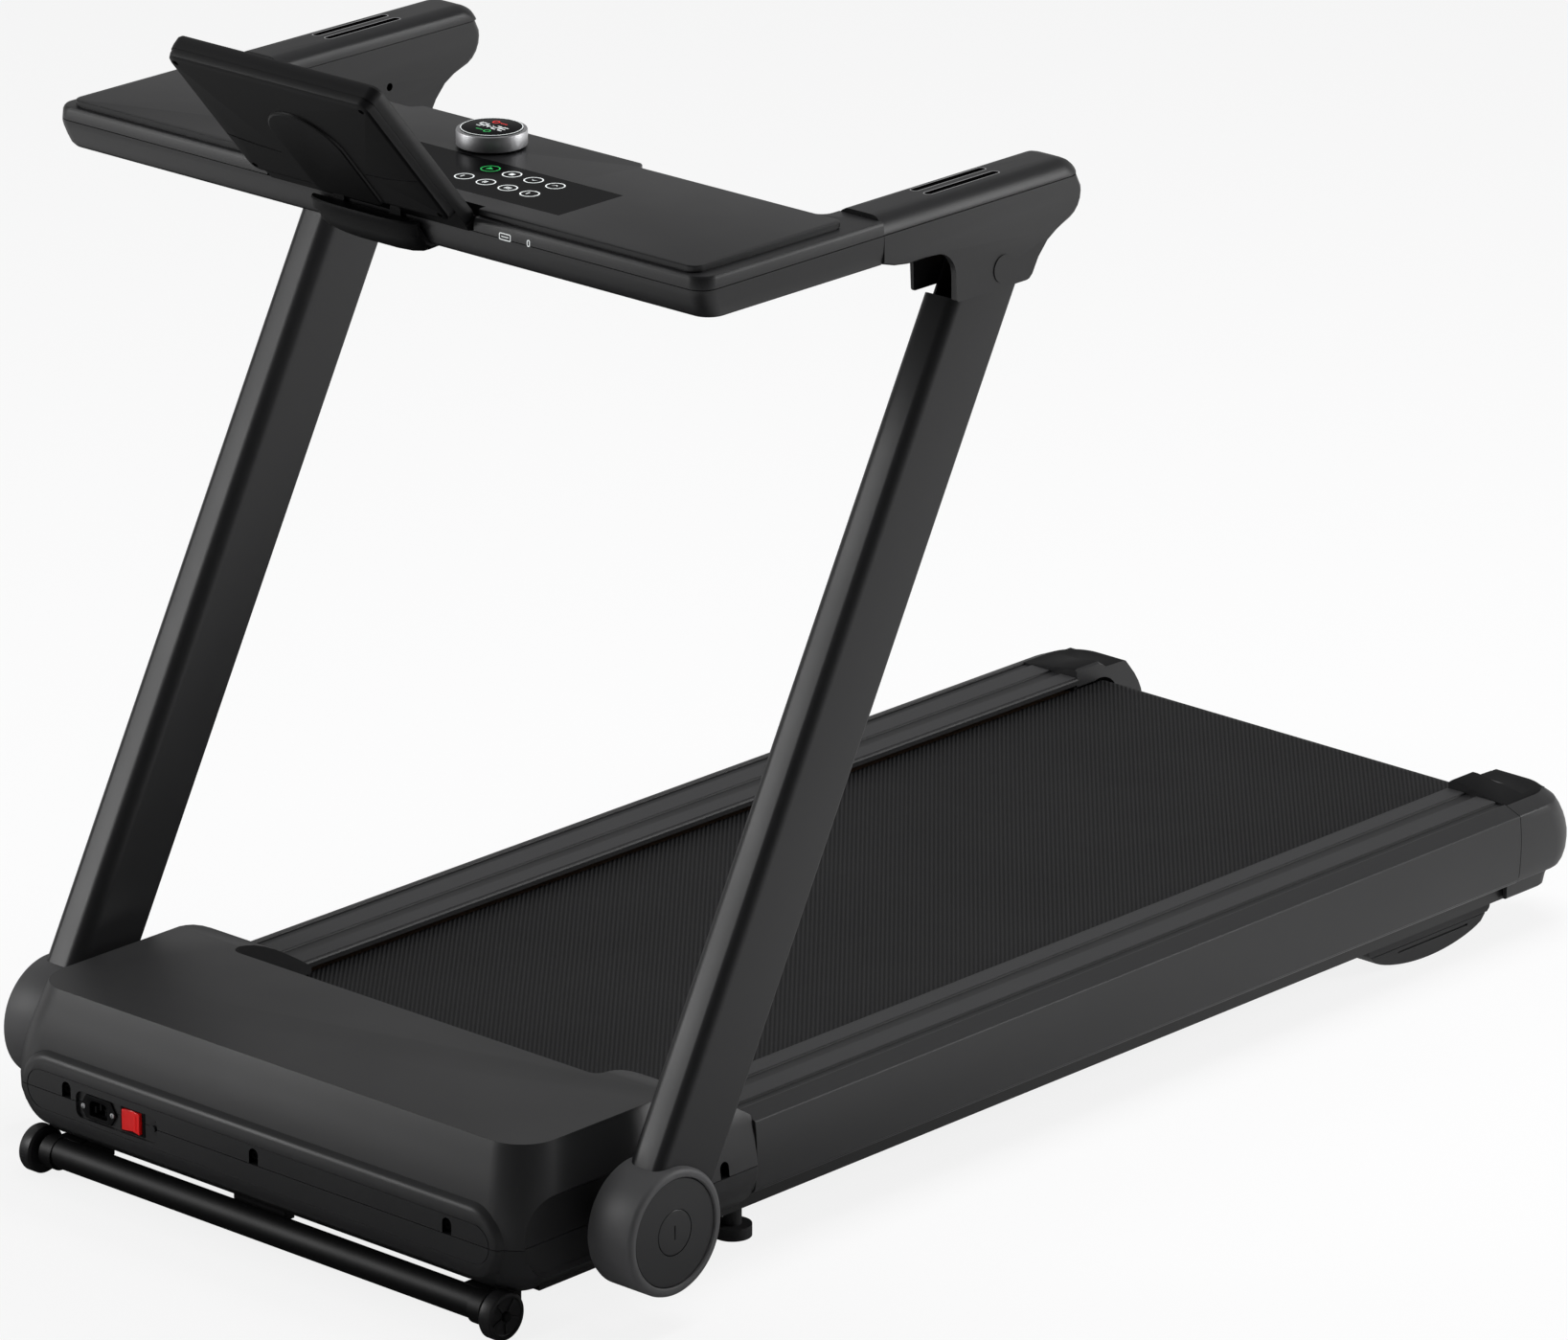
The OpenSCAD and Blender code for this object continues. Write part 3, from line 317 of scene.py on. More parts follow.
# %% The finishes
shell = material("moulded_shell", "black_plastic", "262627", 0.42)
console_black = material("console_black", "black_plastic", "1f1f20", 0.42, specular=0.4)
# Dark plastic of the inlet and switch; on the rear caps' tops and on the inlet pins the same paint is painted
# shade.
dark_trim_and_shade = material("dark_trim_and_shade", "dark_plastic", "111112", 0.55, specular=0.1)
plate_black = material("plate_black", "dark_plastic", "1c1c1d", 0.38, specular=0.38, grain=1400, bump=0.07)
holder_black = material("holder_black", "black_plastic", "121213", 0.45, specular=0.35)
# Darker copy of the holder plastic for its back faces and its saddle: painted shade.
holder_back = material("holder_back", "black_plastic", "060607", 0.5, specular=0.14)
rail_black = material("rail_black", "dark_plastic", "1f1f20", 0.5)
strip_grey = material("strip_grey", "rubber", "333334", 0.6, grain=1500, bump=0.3)
hub_coat = material("hub_coat", "dark_steel", "2a2a2b", 0.42, grain=1500, bump=0.1)
# The drum has the hubs' coat painted lighter, so it reads brighter than the disc: painted light.
drum_lit_coat = material("drum_lit_coat", "dark_steel", "4c4c4d", 0.5, grain=1500, bump=0.1)
bar_coat = material("bar_coat", "dark_steel", "0a0a0b", 0.5, specular=0.4, grain=1600, bump=0.06)
coated = material("powder_coated", "dark_steel", "232324", 0.36, grain=1600, bump=0.1, specular=0.38)
frame_coat = material("frame_coat", "dark_steel", "151516", 0.4, grain=1300, bump=0.16)
steel = material("turned_steel", "bright_steel", "8c9096", 0.3, grain=500, bump=0.08, metal=1,
                 stretch=(0.05, 1, 1))
bronze = material("bush_bronze", "bronze", "b08d57", 0.35, grain=700, metal=1)
phenolic = material("faced_board", "board", "3a2c20", 0.45, grain=160, stretch=(1, 0.08, 1), wander=0.2)
soft_rubber = material("soft_rubber", "rubber", "232324", 0.7, grain=700, bump=0.25)
wheel_black = material("wheel_black", "dark_plastic", "1e1e1f", 0.4)
switch_red = material("switch_red", "red_plastic", "f21616", 0.28, grain=600, bump=0.03)
glass_black = material("panel_glass", "black_glass", "0a0a0b", 0.12, grain=60, bump=0.0, drift=0.04,
                       specular=0.015)
ring_metal = material("brushed_ring", "ring_metal", "d0d0d2", 0.5, grain=900, bump=0.12, metal=1,
                      stretch=(1, 1, 0.04))
chrome = material("sensor_chrome", "ring_metal", "d8d8da", 0.14, grain=300, bump=0.01, metal=1, drift=0.05)
# Near-black matte paint for the screw pockets, the screws in them and the pulse-strip slots: painted shade in
# recesses.
recess_shade_black = material("recess_shade_black", "black_plastic", "030303", 0.9, specular=0.02)
screw_black = material("screw_black", "bright_steel", "3a3a3c", 0.35, grain=600, metal=1)
print(len([m for m in bpy.data.materials if "slot" in m]), "finishes mixed")

# %% [markdown]
# The running belt has fine slanting ribs. A Wave texture in bands, turned to the ribs'
# direction, gives one ridge every 4.4 mm in height, and paints each ridge lighter and each groove darker:
# painted highlight and painted shade.

# %% Belt finish
RIB_TURN, RIB_SCALE = -41.8, 71.4
RIB_DEPTH = 0.0009
belt_finish = material("belt_ribbed", "belt_rubber", "2a2a2b", 0.66, grain=1500, bump=0.25, specular=0.3)
tree = belt_finish.node_tree
link = tree.links.new
ribs = node(tree, "TexWave", Scale=RIB_SCALE, Distortion=0.25, Detail_Scale=40)
ribs.bands_direction = "X"
turn = node(tree, "Mapping", Rotation=(0, 0, radians(RIB_TURN)))
link(tree.nodes["Texture Coordinate"].outputs["Object"], turn.inputs["Vector"])
link(turn.outputs["Vector"], ribs.inputs["Vector"])
ridge = node(tree, "Bump", Strength=0.8, Distance=RIB_DEPTH)
link(ribs.outputs["Fac"], ridge.inputs["Height"])
link(tree.nodes["Bump"].outputs["Normal"], ridge.inputs["Normal"])
shader = tree.nodes["Principled BSDF"]
link(ridge.outputs["Normal"], shader.inputs["Normal"])
# Lighter on the ridges and darker in the grooves: painted highlight and painted shade.
rib_light_and_shade = node(tree, "MixRGB", Color1=shade("0a0a0b"), Color2=shade("212122"))
link(ribs.outputs["Fac"], rib_light_and_shade.inputs["Fac"])
link(rib_light_and_shade.outputs["Color"], shader.inputs["Base Color"])
print("belt ribs every 4.4 mm")

# %% [markdown]
# ## Frame parts that stay as drawn
# Tubes, rollers, axles and the drive are plain turned or welded shapes, mostly hidden.
# Their CAD solids are right as they are and only get their finish.

# %% Paint the frame parts
def dress(paint, *names):
    for n in names:
        m = nodes[n].data.materials
        m.clear()
        m.append(paint)
        only(nodes[n])
        bpy.ops.object.shade_smooth_by_angle(angle=radians(30))

dress(frame_coat, "frame_rail_left", "frame_rail_right", "crossmembers", "motor_bracket", "motor")
dress(steel, "front_roller", "rear_roller", "roller_axles", "front_roller_bearings", "rear_roller_bearings",
      "motor_pulley", "tension_bolts", "pivot_shafts")
dress(screw_black, "link_rods")
# The cover screws sit in the hood's pockets and take the same painted shade.
dress(recess_shade_black, "cover_screws")
dress(bronze, "pivot_bushes")
dress(phenolic, "deck_board")
dress(soft_rubber, "deck_cushions", "drive_belt", "front_feet")
dress(belt_finish, "running_belt")
dress(rail_black, "roller_pulley", "controller", "reset_breaker", "reset_button")
dress(console_black, "pivot_pins")
print("frame parts painted")

# %% [markdown]
# ## Hood
# The hood is two mouldings that meet on a level line. Each is a loft of rounded
# rectangles that lean and swell like the real cover; a side profile then trims the upper
# one, so that its two ears run down over the step rails.

# %% Hood outlines
SEAM, HOOD_TOP, HOOD_REAR = 95, 190, 190
WALL = 3

def hood_ring(z, half, front, r_front, inset=0):
    return flat(rounded(-half + inset, front + inset, half - inset, HOOD_REAR - inset,
                        (r_front - inset, r_front - inset, 5, 5), 10), z)

# Each outline: height, half width, front edge, radius of the front corners.
upper = [(SEAM, 353, -130.8, 47), (108, 351.5, -130.4, 47), (122, 349.4, -128.8, 46.5),
         (138, 346, -125.6, 46), (152, 342.4, -121.6, 45), (164, 338.8, -117.4, 44),
         (174, 335.8, -113.8, 43), (183, 333, -110.6, 42), (HOOD_TOP, 330.6, -107.8, 41)]
lower = [(40.4, 312, -101, 22), (41.8, 318, -106.5, 26), (46.6, 325.5, -112.5, 30), (52.8, 333, -118, 34),
         (60, 341, -122.5, 38), (70, 348, -127, 42), (82, 352, -130, 45), (SEAM, 353, -130.8, 47)]

def ear_profile(drop):
    """Side view of everything below the hood's top and the sloping ears."""
    line = [(92, HOOD_TOP), (101, 188.6), (112, 185.8), (126, 180.4), (140, 173.6), (155, 165), (170, 155.6),
            (188, 143.8), (200, 136)]
    return [(-200, 20), (-200, HOOD_TOP - drop)] + [(y, z - drop) for y, z in line] + [(200, 20)]

PILL_HALF, PILL_R = 321, 36

def pill(y0, y1):
    """The long raised panel across the hood's front, with a rolled rim."""
    swells = ((y1, 10), (y0 + 10, 3.2), (y0 + 6, 1), (y0 + 3, -0.6), (y0 + 1.2, -2.6), (y0, -5.6))
    return loft(*[end_on(rounded(-PILL_HALF - g, SEAM - PILL_R - g, PILL_HALF + g, SEAM + PILL_R + g,
                                 PILL_R + g, 12), y) for y, g in swells])

def side_hollow(depth):
    """Round-ended hollow in the hood's side, where the hub turns."""
    return loft(*[side_on(rounded(-118 - g, 60 - g, 100 + g, 141 + g, 36 + g, 10), x)
                  for x, g in ((346 - depth, -4), (347, 3), (352, 7), (375, 20))])

def belt_gap(grow):
    """The opening in the hood's rear edge that the running belt comes out of."""
    return slab(rounded(-247 - grow, 79 - grow, 247 + grow, 260, (12, 12, 2, 2), 6), 60, 250)

# %% Hood solids
SCREW_X = (-256, 0, 256)
SIDE_SCREW_Y = 142
SEAM_GAP = 0.35

def hood_half(rings, z_inner, seam_side):
    """A hollow half; plastic stays behind the hollows, the mains panel and the screw pockets."""
    body = loft(*[hood_ring(*r) for r in rings])
    room = loft(*[hood_ring(r[0] + z_inner, *r[1:], inset=WALL) for r in rings])
    if seam_side > 0:
        cut(body, along_x(ear_profile(0), -400, 400), how="INTERSECT")
        soften(body, 2.6, 2, 38)
        cut(room, along_x(ear_profile(WALL), -400, 400), how="INTERSECT")
    cut(body, pill(-135, -118), how="UNION")
    keep_out = [belt_gap(WALL), side_hollow(14), flipped(side_hollow(14))]
    keep_out.append(box(-247, -128, -140, -124, 76, 111))
    keep_out += [box(x - 9, x + 9, -140, -121, 84, 116) for x in SCREW_X]
    keep_out += [side_box(s, 329.5, 360, SIDE_SCREW_Y - 9, SIDE_SCREW_Y + 9, 84, 116) for s in (-1, 1)]
    cut(room, *keep_out)
    cut(body, room, belt_gap(0), side_hollow(10), flipped(side_hollow(10)))
    low, high = (0, SEAM + SEAM_GAP) if seam_side > 0 else (SEAM - SEAM_GAP, 250)
    return cut(body, box(-400, 400, -200, 300, low, high))

cover = hood_half(upper, -WALL, 1)
pan = hood_half(lower, WALL, -1)
print("hood halves", len(cover.data.polygons), len(pan.data.polygons), "faces")

# %% [markdown]
# Openings next: the mouths over the step rails, a recess for the mains inlet, arched
# pockets for screws and a thin groove that runs inside the pill's outline.

# %% Hood openings
ARCH_R = 6
BAR_Y, BAR_Z = -119, 24

def screw_arch(x):
    return [(x - ARCH_R, SEAM - 3), (x + ARCH_R, SEAM - 3)] + arc(x, SEAM + 10.5, ARCH_R, 0, 180, 10)

def groove_ring(y0, y1):
    ring = along_y(rounded(-311, SEAM - 20.4, 311, SEAM + 20.4, 20.4, 12), y0, y1)
    return cut(ring, along_y(rounded(-310, SEAM - 19.4, 310, SEAM + 19.4, 19.4, 12), y0 - 5, y1 + 5))

# In this order: the deck, the rails, the groove, the panel's recess, inlet and switch; then on each
# side the hub's shaft, the transport wheel and the bracket of the bar. A small lug hangs under the
# middle of the pan.
for half in (cover, pan):
    cut(half, box(-330, 330, 50, 260, 41.5, 135))
    cut(half, *[side_box(s, 248.5, 329, 118, 260, 60, 147.4) for s in (1, -1)])
    cut(half, groove_ring(-145, -134.2))
    cut(half, along_y(rounded(-243, 79.5, -131, 107, (8, 8, 8, 8), 8), -160, -131.5))
    cut(half, box(-228.6, -199, -140, -110, 82, 103), box(-182.6, -152.4, -140, -110, 81.6, 105.4))
    for s in (-1, 1):
        cut(half, turned_x([(300 * s, 19), (360 * s, 19)], 0, HUB_Z, 32))
        cut(half, turned_x([(298 * s, 27), (322 * s, 27)], BAR_Y, BAR_Z, 48))
        cut(half, side_box(s, 257, 291, -120, -68, 20, 43))
for x in SCREW_X:
    cut(cover, along_y(screw_arch(x), -160, -124))
for s in (-1, 1):
    cut(cover, along_x(screw_arch(SIDE_SCREW_Y), 332 * s, 380 * s))
lug = soften(box(-61, 9, -103, -90, 29.8, 42), 1, 2)
pan = cut(pan, lug, how="UNION")
print("hood opened")

# %% Hood finish
finish(cover, "hood_cover_shell", "base", shell, "hood_cover", angle=24)
finish(pan, "hood_pan_shell", "base", shell, "hood_pan", angle=24)

def in_arch(along, z, middle):
    return abs(along - middle) < ARCH_R + 0.2 and SEAM - 4 < z < SEAM + 17

def in_pocket(x, y, z, normal):
    """True for the walls and floors of the screw pockets, which get painted shade."""
    if any(in_arch(x, z, middle) for middle in SCREW_X) and -133.5 < y < -118:
        return y > -129 or abs(normal.y) < 0.3
    if in_arch(y, z, SIDE_SCREW_Y) and 331 < abs(x) < 352:
        return abs(x) < 340 or abs(normal.x) < 0.3
    return False

for half in (cover, pan):
    half.data.materials.append(recess_shade_black)
    for f in half.data.polygons:
        if in_pocket(f.center.x * 1000, (f.center.y - HUB_Y) * 1000, f.center.z * 1000, f.normal):
            f.material_index = 1
print("hood done")

# %% [markdown]
# ## Side skirts and step rails
# Skirts and rails are long extrusions: one cross-section drawn once and pulled along the
# deck. The skirt has a bevel along its top, swells a little and rolls under below.

# %% Skirts
rear_low, rear_high = in_mm(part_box("rear_cap_right"))
CAP_Y = rear_low[1] - HUB_Y * 1000
REAR_Y = rear_high[1] - HUB_Y * 1000
RAIL_IN, WIDER, HIGHER = 251, 6, 4

def out(x):
    """Spreads the side sections: nothing at the belt's edge, all of WIDER from the skirt on."""
    return x + WIDER * min(max((x - RAIL_IN) / 71, 0), 1)

def up(z):
    """Lifts the side sections: nothing at the foot, all of HIGHER from z 80 up."""
    return z + HIGHER * min(max((z - 20) / 60, 0), 1)

def eased(line):
    return [(out(x), up(z)) for x, z in line]

def swell(z):
    """How far out the skirt stands at a height; it is fullest at z 103."""
    return 345 - (2.3 * ((z - 103) / 31) ** 2 if z > 103 else 3.2 * ((103 - z) / 42) ** 2)

skirt_line = [(321.6, 141.6), (323, 141.8), (324.2, 141.4), (342, 134.3)]
skirt_line += [(swell(z), z) for z in (133.4, 128, 120, 112, 103, 94, 85, 77, 70, 66)]
skirt_line += arc(337.4, 66, 4.4, -10, -80, 5) + [(327.2, 61.4), (327.2, 64), (322, 64)]
skirt = soften(along_y(eased(skirt_line), 188, CAP_Y - 0.4), 0.6, 2, 40)
finish_pair(skirt, "skirt_{}", "base", shell, "side_skirt_{}", angle=12)
print("skirts run from y 188 to", round(CAP_Y))

# %% Step rails
rail_line = [(RAIL_IN, 134.8), (RAIL_IN, 139.6), (251.8, 141.2), (253.2, 141.6), (273.8, 141.6),
             (274.2, 140.2), (287.2, 140.2), (287.6, 141.6), (311.6, 141.6), (312, 139.8), (320.9, 139.8),
             (320.9, 136), (296, 136), (296, 131), (292, 131), (292, 136.5), (254, 136.5), (254, 134.8)]
rail = along_y(eased(rail_line), 124, CAP_Y - 0.3)
finish_pair(rail, "step_rail_{}", "base", rail_black, "rail_cover_{}", angle=20)
print("rails drawn from", len(rail_line), "corners")

# %% Grip strips
def strip(x0, x1, y0, y1):
    s = slab([(out(x0), y0), (out(x1), y0), (out(x1), y1), (out(x0), y1)], up(141.55), up(142.1))
    return soften(s, 0.3, 1, 50)

strips = []
for x0, x1, y0 in ((254.4, 273.2, 186), (288, 311.2, 180)):
    s = strip(x0, x1, y0, CAP_Y - 0.5)
    strips += [s, mirrored(s)]
finish(merge(*strips), "grip_strip_set", "base", strip_grey, "grip_strips", angle=20)
print("rails and strips done")

# %% [markdown]
# ## Rear caps
# Each cap closes a rail. It is a loft of plan outlines from the lower edge up: the side
# continues the skirt's swell, the back bulges, and the standing corner is wide. A wedge
# raises the top next to the belt, and an arch clears the belt where it turns.

# %% Rear caps
CAP_IN, CAP_REAR, CAP_TOP = 253.2, 1447.5, 141.9
ROLLER_Y, ROLLER_Z = 1378, 107.6

def cap_ring(z, x_out, rear, r):
    line = [(CAP_IN, CAP_Y), (x_out, CAP_Y)] + arc(x_out - r, rear - r, r, 0, 90, 14) + [(CAP_IN, rear)]
    return flat([(out(x), y) for x, y in line], up(z))

back = REAR_Y - CAP_REAR
# Each outline: height, outer side, rear edge, radius of the standing corner.
cap_rings = [(42, 325.5, 1407, 16), (43.5, 327, 1411, 18), (52, 327.2, 1417, 22), (59.6, 327.6, 1426, 26),
             (61.4, 337, 1429, 32), (64, 341, 1432.5, 38)]
cap_rings += [(z, swell(z), y, r) for z, y, r in (
    (69, 1438.5, 42), (77, 1444.6, 46), (87, 1447.3, 49), (96, 1447.2, 50), (105, 1444.6, 50),
    (114, 1440.4, 49), (124, 1434, 47), (133, 1426.6, 45))]
cap_rings += [(134.3, 342, 1425.6, 45), (141.4, 324.2, 1419.6, 34), (142, 321.4, 1417.6, 33)]
cap = loft(*[cap_ring(z, x_out, y + back, r) for z, x_out, y, r in cap_rings])

def wedge_line(h):
    return eased([(CAP_IN, 136), (318, 136), (318, CAP_TOP), (286, CAP_TOP + h * 0.55), (262, CAP_TOP + h),
                  (256, CAP_TOP + h), (CAP_IN, CAP_TOP + h * 0.8)])

wedge = loft(*[end_on(wedge_line(h), CAP_Y + dy)
               for dy, h in ((0, 7.6), (4, 8.8), (36, 8.8), (47, 1.4), (70, 0.6))])
cut(cap, wedge, how="UNION")
cap_inside = along_x([(CAP_Y + 3, 40), (CAP_Y + 3, 136), (REAR_Y - 38, 134), (REAR_Y - 24, 104),
                      (REAR_Y - 24, 90), (REAR_Y - 42, 64), (REAR_Y - 44, 40)], 256.6, 318)
cut(cap, cap_inside, turned_x([(240, 29), (256.7, 29)], ROLLER_Y, ROLLER_Z, 64),
    box(240, 256.7, 1200, ROLLER_Y, 40, 135.4), box(240, 327.8, 1200, 1407.5, 30, 97),
    turned_y([(1395, 7), (1470, 7)], 297.5, ROLLER_Z))
soften(cap, 0.7, 2, 38)
# Upward faces near the cap's top take the dark paint, so the tops read darker than the sides: painted shade.
TOP_FACING, TOP_FROM = 0.93, 0.1405
for o in finish_pair(cap, "rear_cap_{}_shell", "base", shell, "rear_cap_{}", angle=26):
    o.data.materials.append(dark_trim_and_shade)
    for f in o.data.polygons:
        if f.normal.z > TOP_FACING and f.center.z > TOP_FROM:
            f.material_index = 1
print("rear caps done", len(cap.data.polygons))

# %% [markdown]
# ## Hubs and uprights
# The hubs are turned: a drum with a rounded rim, a sunk disc and a push button with a
# small mark. The uprights are flattened tubes with wide front corners.

# %% Hubs
HUB_IN, HUB_OUT = hub_low[0] * 1000, hub_high[0] * 1000
RIM = (hub_high[2] - hub_low[2]) * 500

def on_hub(profile, n):
    """Turns a profile whose first numbers count from the hub's outer face."""
    return turned_x([(HUB_OUT + x, r) for x, r in profile], 0, HUB_Z, n)

drum = turned_x([(HUB_IN, RIM - 3), (HUB_IN + 0.8, RIM - 1), (HUB_IN + 3, RIM), (HUB_OUT - 5, RIM),
                 (HUB_OUT - 2.6, RIM - 0.7), (HUB_OUT - 0.9, RIM - 2.3), (HUB_OUT - 0.2, RIM - 4.2),
                 (HUB_OUT, RIM - 6), (HUB_OUT - 0.3, RIM - 8.2), (HUB_OUT - 1.4, RIM - 9.2),
                 (HUB_OUT - 6, RIM - 9.4)], 0, HUB_Z, 128)
cut(drum, on_hub([(-31, 43), (0, 43)], 96), turned_x([(HUB_IN - 2, 18), (HUB_OUT, 18)], 0, HUB_Z, 64))
disc = on_hub([(-6.2, RIM - 9.8), (-3, RIM - 9.8), (-2.2, RIM - 10.6)], 128)
cut(disc, on_hub([(-9, 22.9), (0, 22.9)], 96))
button = on_hub([(-16, 9), (-6.5, 9), (-6.4, 22.2), (-2.6, 22.2), (-2.1, 21.6), (-2, 20)], 96)
cut(button, box(HUB_OUT - 2.8, HUB_OUT, -0.9, 0.9, HUB_Z - 7, HUB_Z + 7))
twins = [mirrored(o) for o in (drum, disc, button)]
for side, trio in (("right", (drum, disc, button)), ("left", twins)):
    finish(trio[0], "hub_drum_" + side, "uprights", drum_lit_coat, "hub_" + side)
    finish(trio[1], "hub_disc_" + side, "uprights", hub_coat, *(["hub_caps"] if side == "right" else []))
    finish(trio[2], "hub_button_" + side, "button_" + side, hub_coat, "lock_button_" + side)
print("hubs turned, radius", round(RIM, 1))

# %% Uprights
LEAN = radians(28.2)

def on_upright(x, p, s):
    """A point s along the upright from the hub and p across it, towards the rear."""
    return (x, p * cos(LEAN) + s * sin(LEAN), HUB_Z - p * sin(LEAN) + s * cos(LEAN))

def post_ring(s, shrink=0):
    w, d, x0 = 22.6 - shrink, 38 - shrink, 392.4
    line = rounded(-w, -d - 3.5, w, d, (15 - shrink, 11 - shrink, 5 - shrink, 5 - shrink), 8)
    return [on_upright(x0 + x, p, s) for x, p in line]

post = loft(post_ring(44), post_ring(966))
cut(post, loft(post_ring(30, 2.5), post_ring(980, 2.5)))
notch_line = ((360, -48), (412.5, -48), (412.5, -20.5), (360, -20.5))
cut(post, loft(*[[on_upright(x, p, s) for x, p in notch_line] for s in (906, 975)]))
finish_pair(post, "upright_{}", "uprights", coated, "post_{}")
print("uprights done")

# %% [markdown]
# ## Console
# The console is a shallow tray: a lower shell whose front edge rolls under, an upper
# frame above a level seam, and a thin raised plate that carries the glass and the knob.

# %% Console outlines
base_low, base_high = in_mm(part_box("console_base"))
HALF = base_high[0]
FRONT = base_low[1] - HUB_Y * 1000
STUB = base_high[1] - HUB_Y * 1000
UNDER = base_low[2]
SPLIT = base_high[2] + 0.1
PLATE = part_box("top_plate")[1][2] * 1000
BACK = STUB - 21
HANDLE_IN, HANDLE_OUT = HALF - 58, HALF

def tray(z, inset, front=None):
    """Plan of the console with a stub for each handle."""
    f = FRONT + (inset if front is None else front)
    h = HALF - inset
    inner = HANDLE_IN + inset * 0.5
    right = (arc(h - 18, f + 18, 18, 270, 360, 8) + [(h, STUB), (inner, STUB)]
             + arc(inner - 14, BACK - inset * 0.5 + 14, 14, 0, -90, 6))
    left = [(-x, y) for x, y in reversed(right)]
    return flat(right + left, z)

lower_tray = loft(tray(UNDER, 7, 17), tray(UNDER + 1.2, 4, 13), tray(UNDER + 5, 2, 9.5),
                  tray(UNDER + 14, 0.8, 5), tray(UNDER + 23, 0.2, 1.2), tray(UNDER + 27, 0, 0),
                  tray(SPLIT - 0.4, 0, 0))
upper_tray = loft(tray(SPLIT + 0.4, 0, 0), tray(SPLIT + 9, 0.6, 0.6), tray(UNDER + 41, 1.2, 1.4),
                  tray(UNDER + 42.6, 2.4, 2.4), tray(UNDER + 43, 4.2, 4.2))
print("console outline", len(lower_tray.data.vertices), len(upper_tray.data.vertices), "vertices")

# %% Console shells
def holder_bay(low):
    """The notch in the front edge that leaves room for the tablet holder."""
    return box(-135, 135, FRONT - 5, FRONT + 16.2, low, PLATE + 10)

cut(lower_tray, loft(tray(UNDER + 3, 8, 18), tray(UNDER + 27, 3, 3), tray(SPLIT + 3, 3, 3)))
cut(upper_tray, loft(tray(SPLIT - 3, 3, 3), tray(UNDER + 40, 4, 4)))
cut(upper_tray, holder_bay(UNDER + 26.2))
finish(lower_tray, "console_lower", "console", console_black, "console_base")
back_wall = box(-137, 137, FRONT + 16.3, FRONT + 18.3, UNDER + 26, UNDER + 42)
ledge = box(-137, 137, FRONT + 4, FRONT + 18.3, UNDER + 24.6, UNDER + 26.1)
finish(merge(upper_tray, back_wall, ledge), "console_upper", "console", console_black, "console_frame")
print("console shells done")

# %% Raised plate
def plate_ring(z, inset):
    h = HALF - 16 - inset
    y0, y1, y2 = FRONT + 7 + inset, BACK - 17 - inset, BACK - 7 - inset
    c = 147 - inset
    line = (arc(h - 11, y0 + 11, 11, 270, 360, 6) + arc(h - 8, y1 - 8, 8, 0, 90, 6)
            + arc(c + 8, y1 + 8, 8, 270, 225, 3) + arc(c - 6, y2 - 4, 5, 45, 90, 3))
    line += [(-x, y) for x, y in reversed(line)]
    return flat(line, z)

plate = loft(plate_ring(UNDER + 42.9, 1.2), plate_ring(UNDER + 44.2, 1.2), plate_ring(UNDER + 44.6, 0),
             plate_ring(PLATE - 1.4, 0), plate_ring(PLATE - 0.4, 0.7), plate_ring(PLATE, 2))
cut(plate, holder_bay(UNDER))
GLASS = [(204, FRONT + 41), (204, FRONT + 128), (-63, FRONT + 128), (68, FRONT + 39)]
cut(plate, slab(GLASS, PLATE - 1, PLATE + 3))
finish(plate, "top_plate_skin", "console", plate_black, "top_plate")
pane = slab(GLASS, PLATE - 1.2, PLATE - 0.05)
finish(pane, "glass_panel", "console", glass_black, "touch_panel")
print("plate and glass done")

# %% [markdown]
# ## Handles
# Each handle is a lower shell with a skirt round the upright and an upper shell with two
# sensor slots. Seen from the side both are outlines; running them across the handle's
# width and pulling them in near the sides rounds the grip.

# %% Handle outlines
GRIP_R, PIVOT_Y, PIVOT_Z = 35, 449, 938.6
NOSE_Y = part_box("handle_covers")[1][1] * 1000 - HUB_Y * 1000 - 35.5
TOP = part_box("handle_covers")[1][2] * 1000

def upper_ring(x, pull, drop):
    r = GRIP_R - pull
    low = SPLIT + 0.3
    top = TOP - drop
    zc = top - r
    a = acos(max(-1, min(1, (low - zc) / r)))
    return side_on([(STUB + 0.4, low), (STUB + 0.4, top)] + arc(NOSE_Y, zc, r, 90, 90 - a * 180 / pi, 10), x)

def lower_ring(x, pull, rise):
    r = GRIP_R - pull
    r_seam = GRIP_R - pull * 0.6
    zc = TOP - GRIP_R
    seam = SPLIT - 0.3
    a = 90 - acos((seam - zc) / r_seam) * 180 / pi
    line = [(STUB + 0.4, seam), (STUB + 0.4, UNDER + 1.5 + rise), (300, 974 + rise), (318, 971.6 + rise)]
    line += [(340, 971.8 + rise)] + arc(355, 944 + rise * 0.5, 29 - rise * 0.5, 92, 0, 8)
    line += [(384.2, 922), (386, 920), (482, 920), (486, 921), (490, 924.5)]
    line += [(503 - pull * 0.3, 938 + rise * 0.5), (517 - pull * 0.4, 951.5 + rise * 0.5)]
    line += [(531 - pull * 0.5, 958.5 + rise)]
    line += [(NOSE_Y + (r + 1) * cos(radians(t)), zc + r * sin(radians(t)) * 1.02)
             for t in (-66, -50, -33, -16, 0, 12)]
    return side_on(line + [(NOSE_Y + r_seam * cos(radians(a)) - pull * 0.4, seam)], x)

